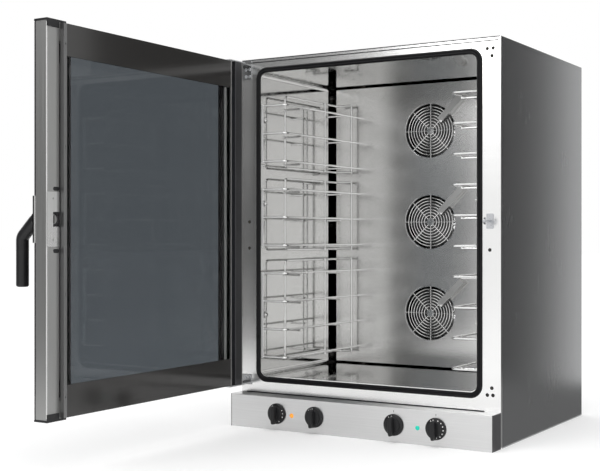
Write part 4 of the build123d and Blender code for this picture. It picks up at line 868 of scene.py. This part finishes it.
# Door frame: stiles in satin anodised aluminium tube and rails in channel, screwed at the corners,
# with the aluminium hinge profile of the inner pane beside the hinge stile.
def anodised(name, colour, roughness):
    """Extruded and anodised metal: faint die lines along Z and an even satin sheen."""
    made, shader, wire = finish(name, colour, roughness, 0.85)
    lines = noise(wire, (700.0, 700.0, 3.0), 2.0, 0.5)
    dark = tuple(c * 0.95 for c in colour)
    light = tuple(c * 1.05 for c in colour)
    blend(wire, lines, dark, light).into(shader, "Base Color")
    spread(lines, 0.3, 0.7, roughness - 0.04, roughness + 0.05).into(shader, "Roughness")
    relief(wire, lines, shader, 0.00002)
    return made


door_metal = anodised("door_metal", (0.35, 0.35, 0.345), 0.36)
dress(door_metal, "door_frame", "pane_hinge_profile")


# Latch plate and escutcheon: brushed stainless plates, one let into the inner face of the free
# stile round the latch window, the other under the handle outside.
plate_steel = steel("plate_steel", (0.58, 0.58, 0.575), 0.26, (300.0, 300.0, 12.0), tone=0.04)
dress(plate_steel, "latch_plate", "handle_escutcheon")


# End caps and slot plugs: black moulded plastic, the caps pushed over the ends of the free stile,
# the oval plugs into its two slots, above and below the latch plate.
dress(black_plastic, "door_end_caps")
stile_x = -343.8 * mm
slot_y = -1118.9 * mm
plug_heights = (636.0 * mm, 497.3 * mm)


def oval_plug(z):
    """Oval 19 by 9 mm: half rounds joined by straight edges, drawn in to a point at front and back."""
    turn = np.linspace(0, 2 * math.pi, 48, endpoint=False)
    edge_y = 4.5 * np.cos(turn) + 5.0 * np.sign(np.cos(turn))
    edge_z = 4.5 * np.sin(turn)
    rows = np.zeros((5, 48, 3))
    for row, (share, proud) in zip(rows, ((0.0, 0.5), (0.88, 0.5), (1.0, 0.3), (1.0, -0.1), (0.0, -0.1))):
        row[:, 0] = stile_x + proud * mm
        row[:, 1] = slot_y + share * edge_y * mm
        row[:, 2] = z + share * edge_z * mm
    return skin(rows, False, True)


piece("slot_plugs", [oval_plug(z) for z in plug_heights], black_plastic, "door", "black_plastic")


# Stile corner: a thin rod of light grey along the free stile's rounded inner corner, full length between the
# end caps. It is a painted highlight, the thin light line where the extrusion catches the most light.
corner_radius = 1.2 * mm
corner_x = stile_x - 0.9 * mm
corner_y = -1147.8 * mm
corner_foot = (corner_x, corner_y, 126.0 * mm)
corner_head = (corner_x, corner_y, 1005.0 * mm)
stile_corner = rod(corner_foot, corner_head, corner_radius, 12, 0.3 * mm)
piece("stile_corner", [stile_corner], bright_wire, "door", "door_metal")


# Seal band and edge strip: dark anodised aluminium. The band runs along the hinge stile and closes
# on the frame beside the gasket, and the strip edges the free side of the inner pane.
band_metal = anodised("band_metal", (0.075, 0.075, 0.08), 0.4)
dress(band_metal, "door_seal_band")
strip_metal = anodised("strip_metal", (0.20, 0.20, 0.20), 0.36)
dress(strip_metal, "pane_edge_strip")


# Outer glass: 4 mm tempered sheet, tinted, with a black ceramic border fired on round the window.
# Inner pane: 5 mm tempered sheet with a heat-reflecting coat, glued to its edge strip.
def glass(name, tint, window, border, ior=1.5, shine=0.06):
    """Tinted glass, with a fired border wherever Y or Z lies outside the window's low and high Y and
    Z in metres."""
    made, shader, wire = finish(name, tint, shine, 0.0, IOR=ior, Transmission_Weight=1.0)
    frit = made.node_tree.nodes.new("ShaderNodeBsdfPrincipled")
    frit.inputs["Base Color"].default_value = (*border, 1.0)
    frit.inputs["Roughness"].default_value = 0.12
    streak = noise(wire, (2.0, 3.0, 14.0), 3.0, 0.55)
    spread(streak, 0.3, 0.8, shine * 0.4, shine * 1.6).into(shader, "Roughness")
    grain = noise(wire, (1200.0, 1200.0, 1200.0), 2.0, 0.5)
    darker = tuple(c * 0.8 for c in border)
    lighter = tuple(c * 1.2 for c in border)
    blend(wire, grain, darker, lighter).into(frit, "Base Color")
    place = wire.node("ShaderNodeTexCoord", out="Object")
    along = wire.node("ShaderNodeSeparateXYZ", inputs={0: place}, out="Y")
    height = wire.node("ShaderNodeSeparateXYZ", inputs={0: place}, out="Z")
    (y0, y1), (z0, z1) = window
    outside = (along < y0) | (along > y1) | (height < z0) | (height > z1)
    clear = Wire(made.node_tree, shader.outputs[0])
    fired = Wire(made.node_tree, frit.outputs[0])
    both = wire.node("ShaderNodeMixShader", inputs={0: outside, 1: clear, 2: fired})
    both.into(made.node_tree.nodes["Material Output"], "Surface")
    return made


outer_window = ((-1.0375, -0.4535), (0.150, 0.981))
inner_window = ((-2.0, 0.0), (0.197, 0.934))
outer_border = (0.022, 0.018, 0.022)
inner_border = (0.030, 0.029, 0.028)
glass_outer = glass("glass_outer", (0.086, 0.097, 0.108), outer_window, outer_border, ior=1.22)
glass_inner = glass("glass_inner", (0.82, 0.83, 0.83), inner_window, inner_border, ior=1.17, shine=0.02)
dress(glass_outer, "door_outer_glass")
dress(glass_inner, "pane_glass")


# Flange of the hinge profile: a pale aluminium strip glued to the back of the inner pane, which
# shows through the clear glass between the two printed bands.
flange_metal, flange_shader, flange_wire = finish("flange_metal", (0.42, 0.42, 0.415), 0.5, 0.2)
flange_lines = noise(flange_wire, (500.0, 500.0, 4.0), 3.0, 0.5)
flange_tone = blend(flange_wire, flange_lines, (0.36, 0.36, 0.355), (0.48, 0.48, 0.475))
flange_tone.into(flange_shader, "Base Color")
hinge_flange = block((-337.8 * mm, -484.0 * mm, 198.0 * mm), (-337.0 * mm, -459.0 * mm, 933.0 * mm))
piece("hinge_flange", [hinge_flange], flange_metal, "inner_pane", "door_metal")


# Escutcheon edge: the escutcheon's dull sheared rim, which wraps the end of the leaf. A strip of
# it shows past the glass, and another lies on the end of the stile.
rim_low, rim_high = 515.5 * mm, 620.5 * mm
leaf_end = -1149.7 * mm
glass_x = -381.3 * mm
rim_x = glass_x - 3.9 * mm
rim_past_glass = block((rim_x, leaf_end, rim_low), (glass_x, leaf_end + 14.0 * mm, rim_high))
rim_on_stile = block((rim_x, leaf_end, rim_low), (glass_x + 4.4 * mm, leaf_end + 0.7 * mm, rim_high))
piece("escutcheon_edge", [rim_past_glass, rim_on_stile], flange_metal, "door", "door_metal")


# Latch cup: a slotted rim of pale cast metal on the end of the handle's spindle, behind the latch
# window. It passes the striker's head upright and holds it once it has turned.
dress(flange_metal, "latch_cup")


# Handle: a black lever moulded over a steel core, hanging down, on a spindle that runs through
# the escutcheon and the stile to the latch cup.
handle_plastic = moulded("handle_plastic", (0.013, 0.013, 0.014), 0.33, 0.00003)
dress(handle_plastic, "handle_lever")
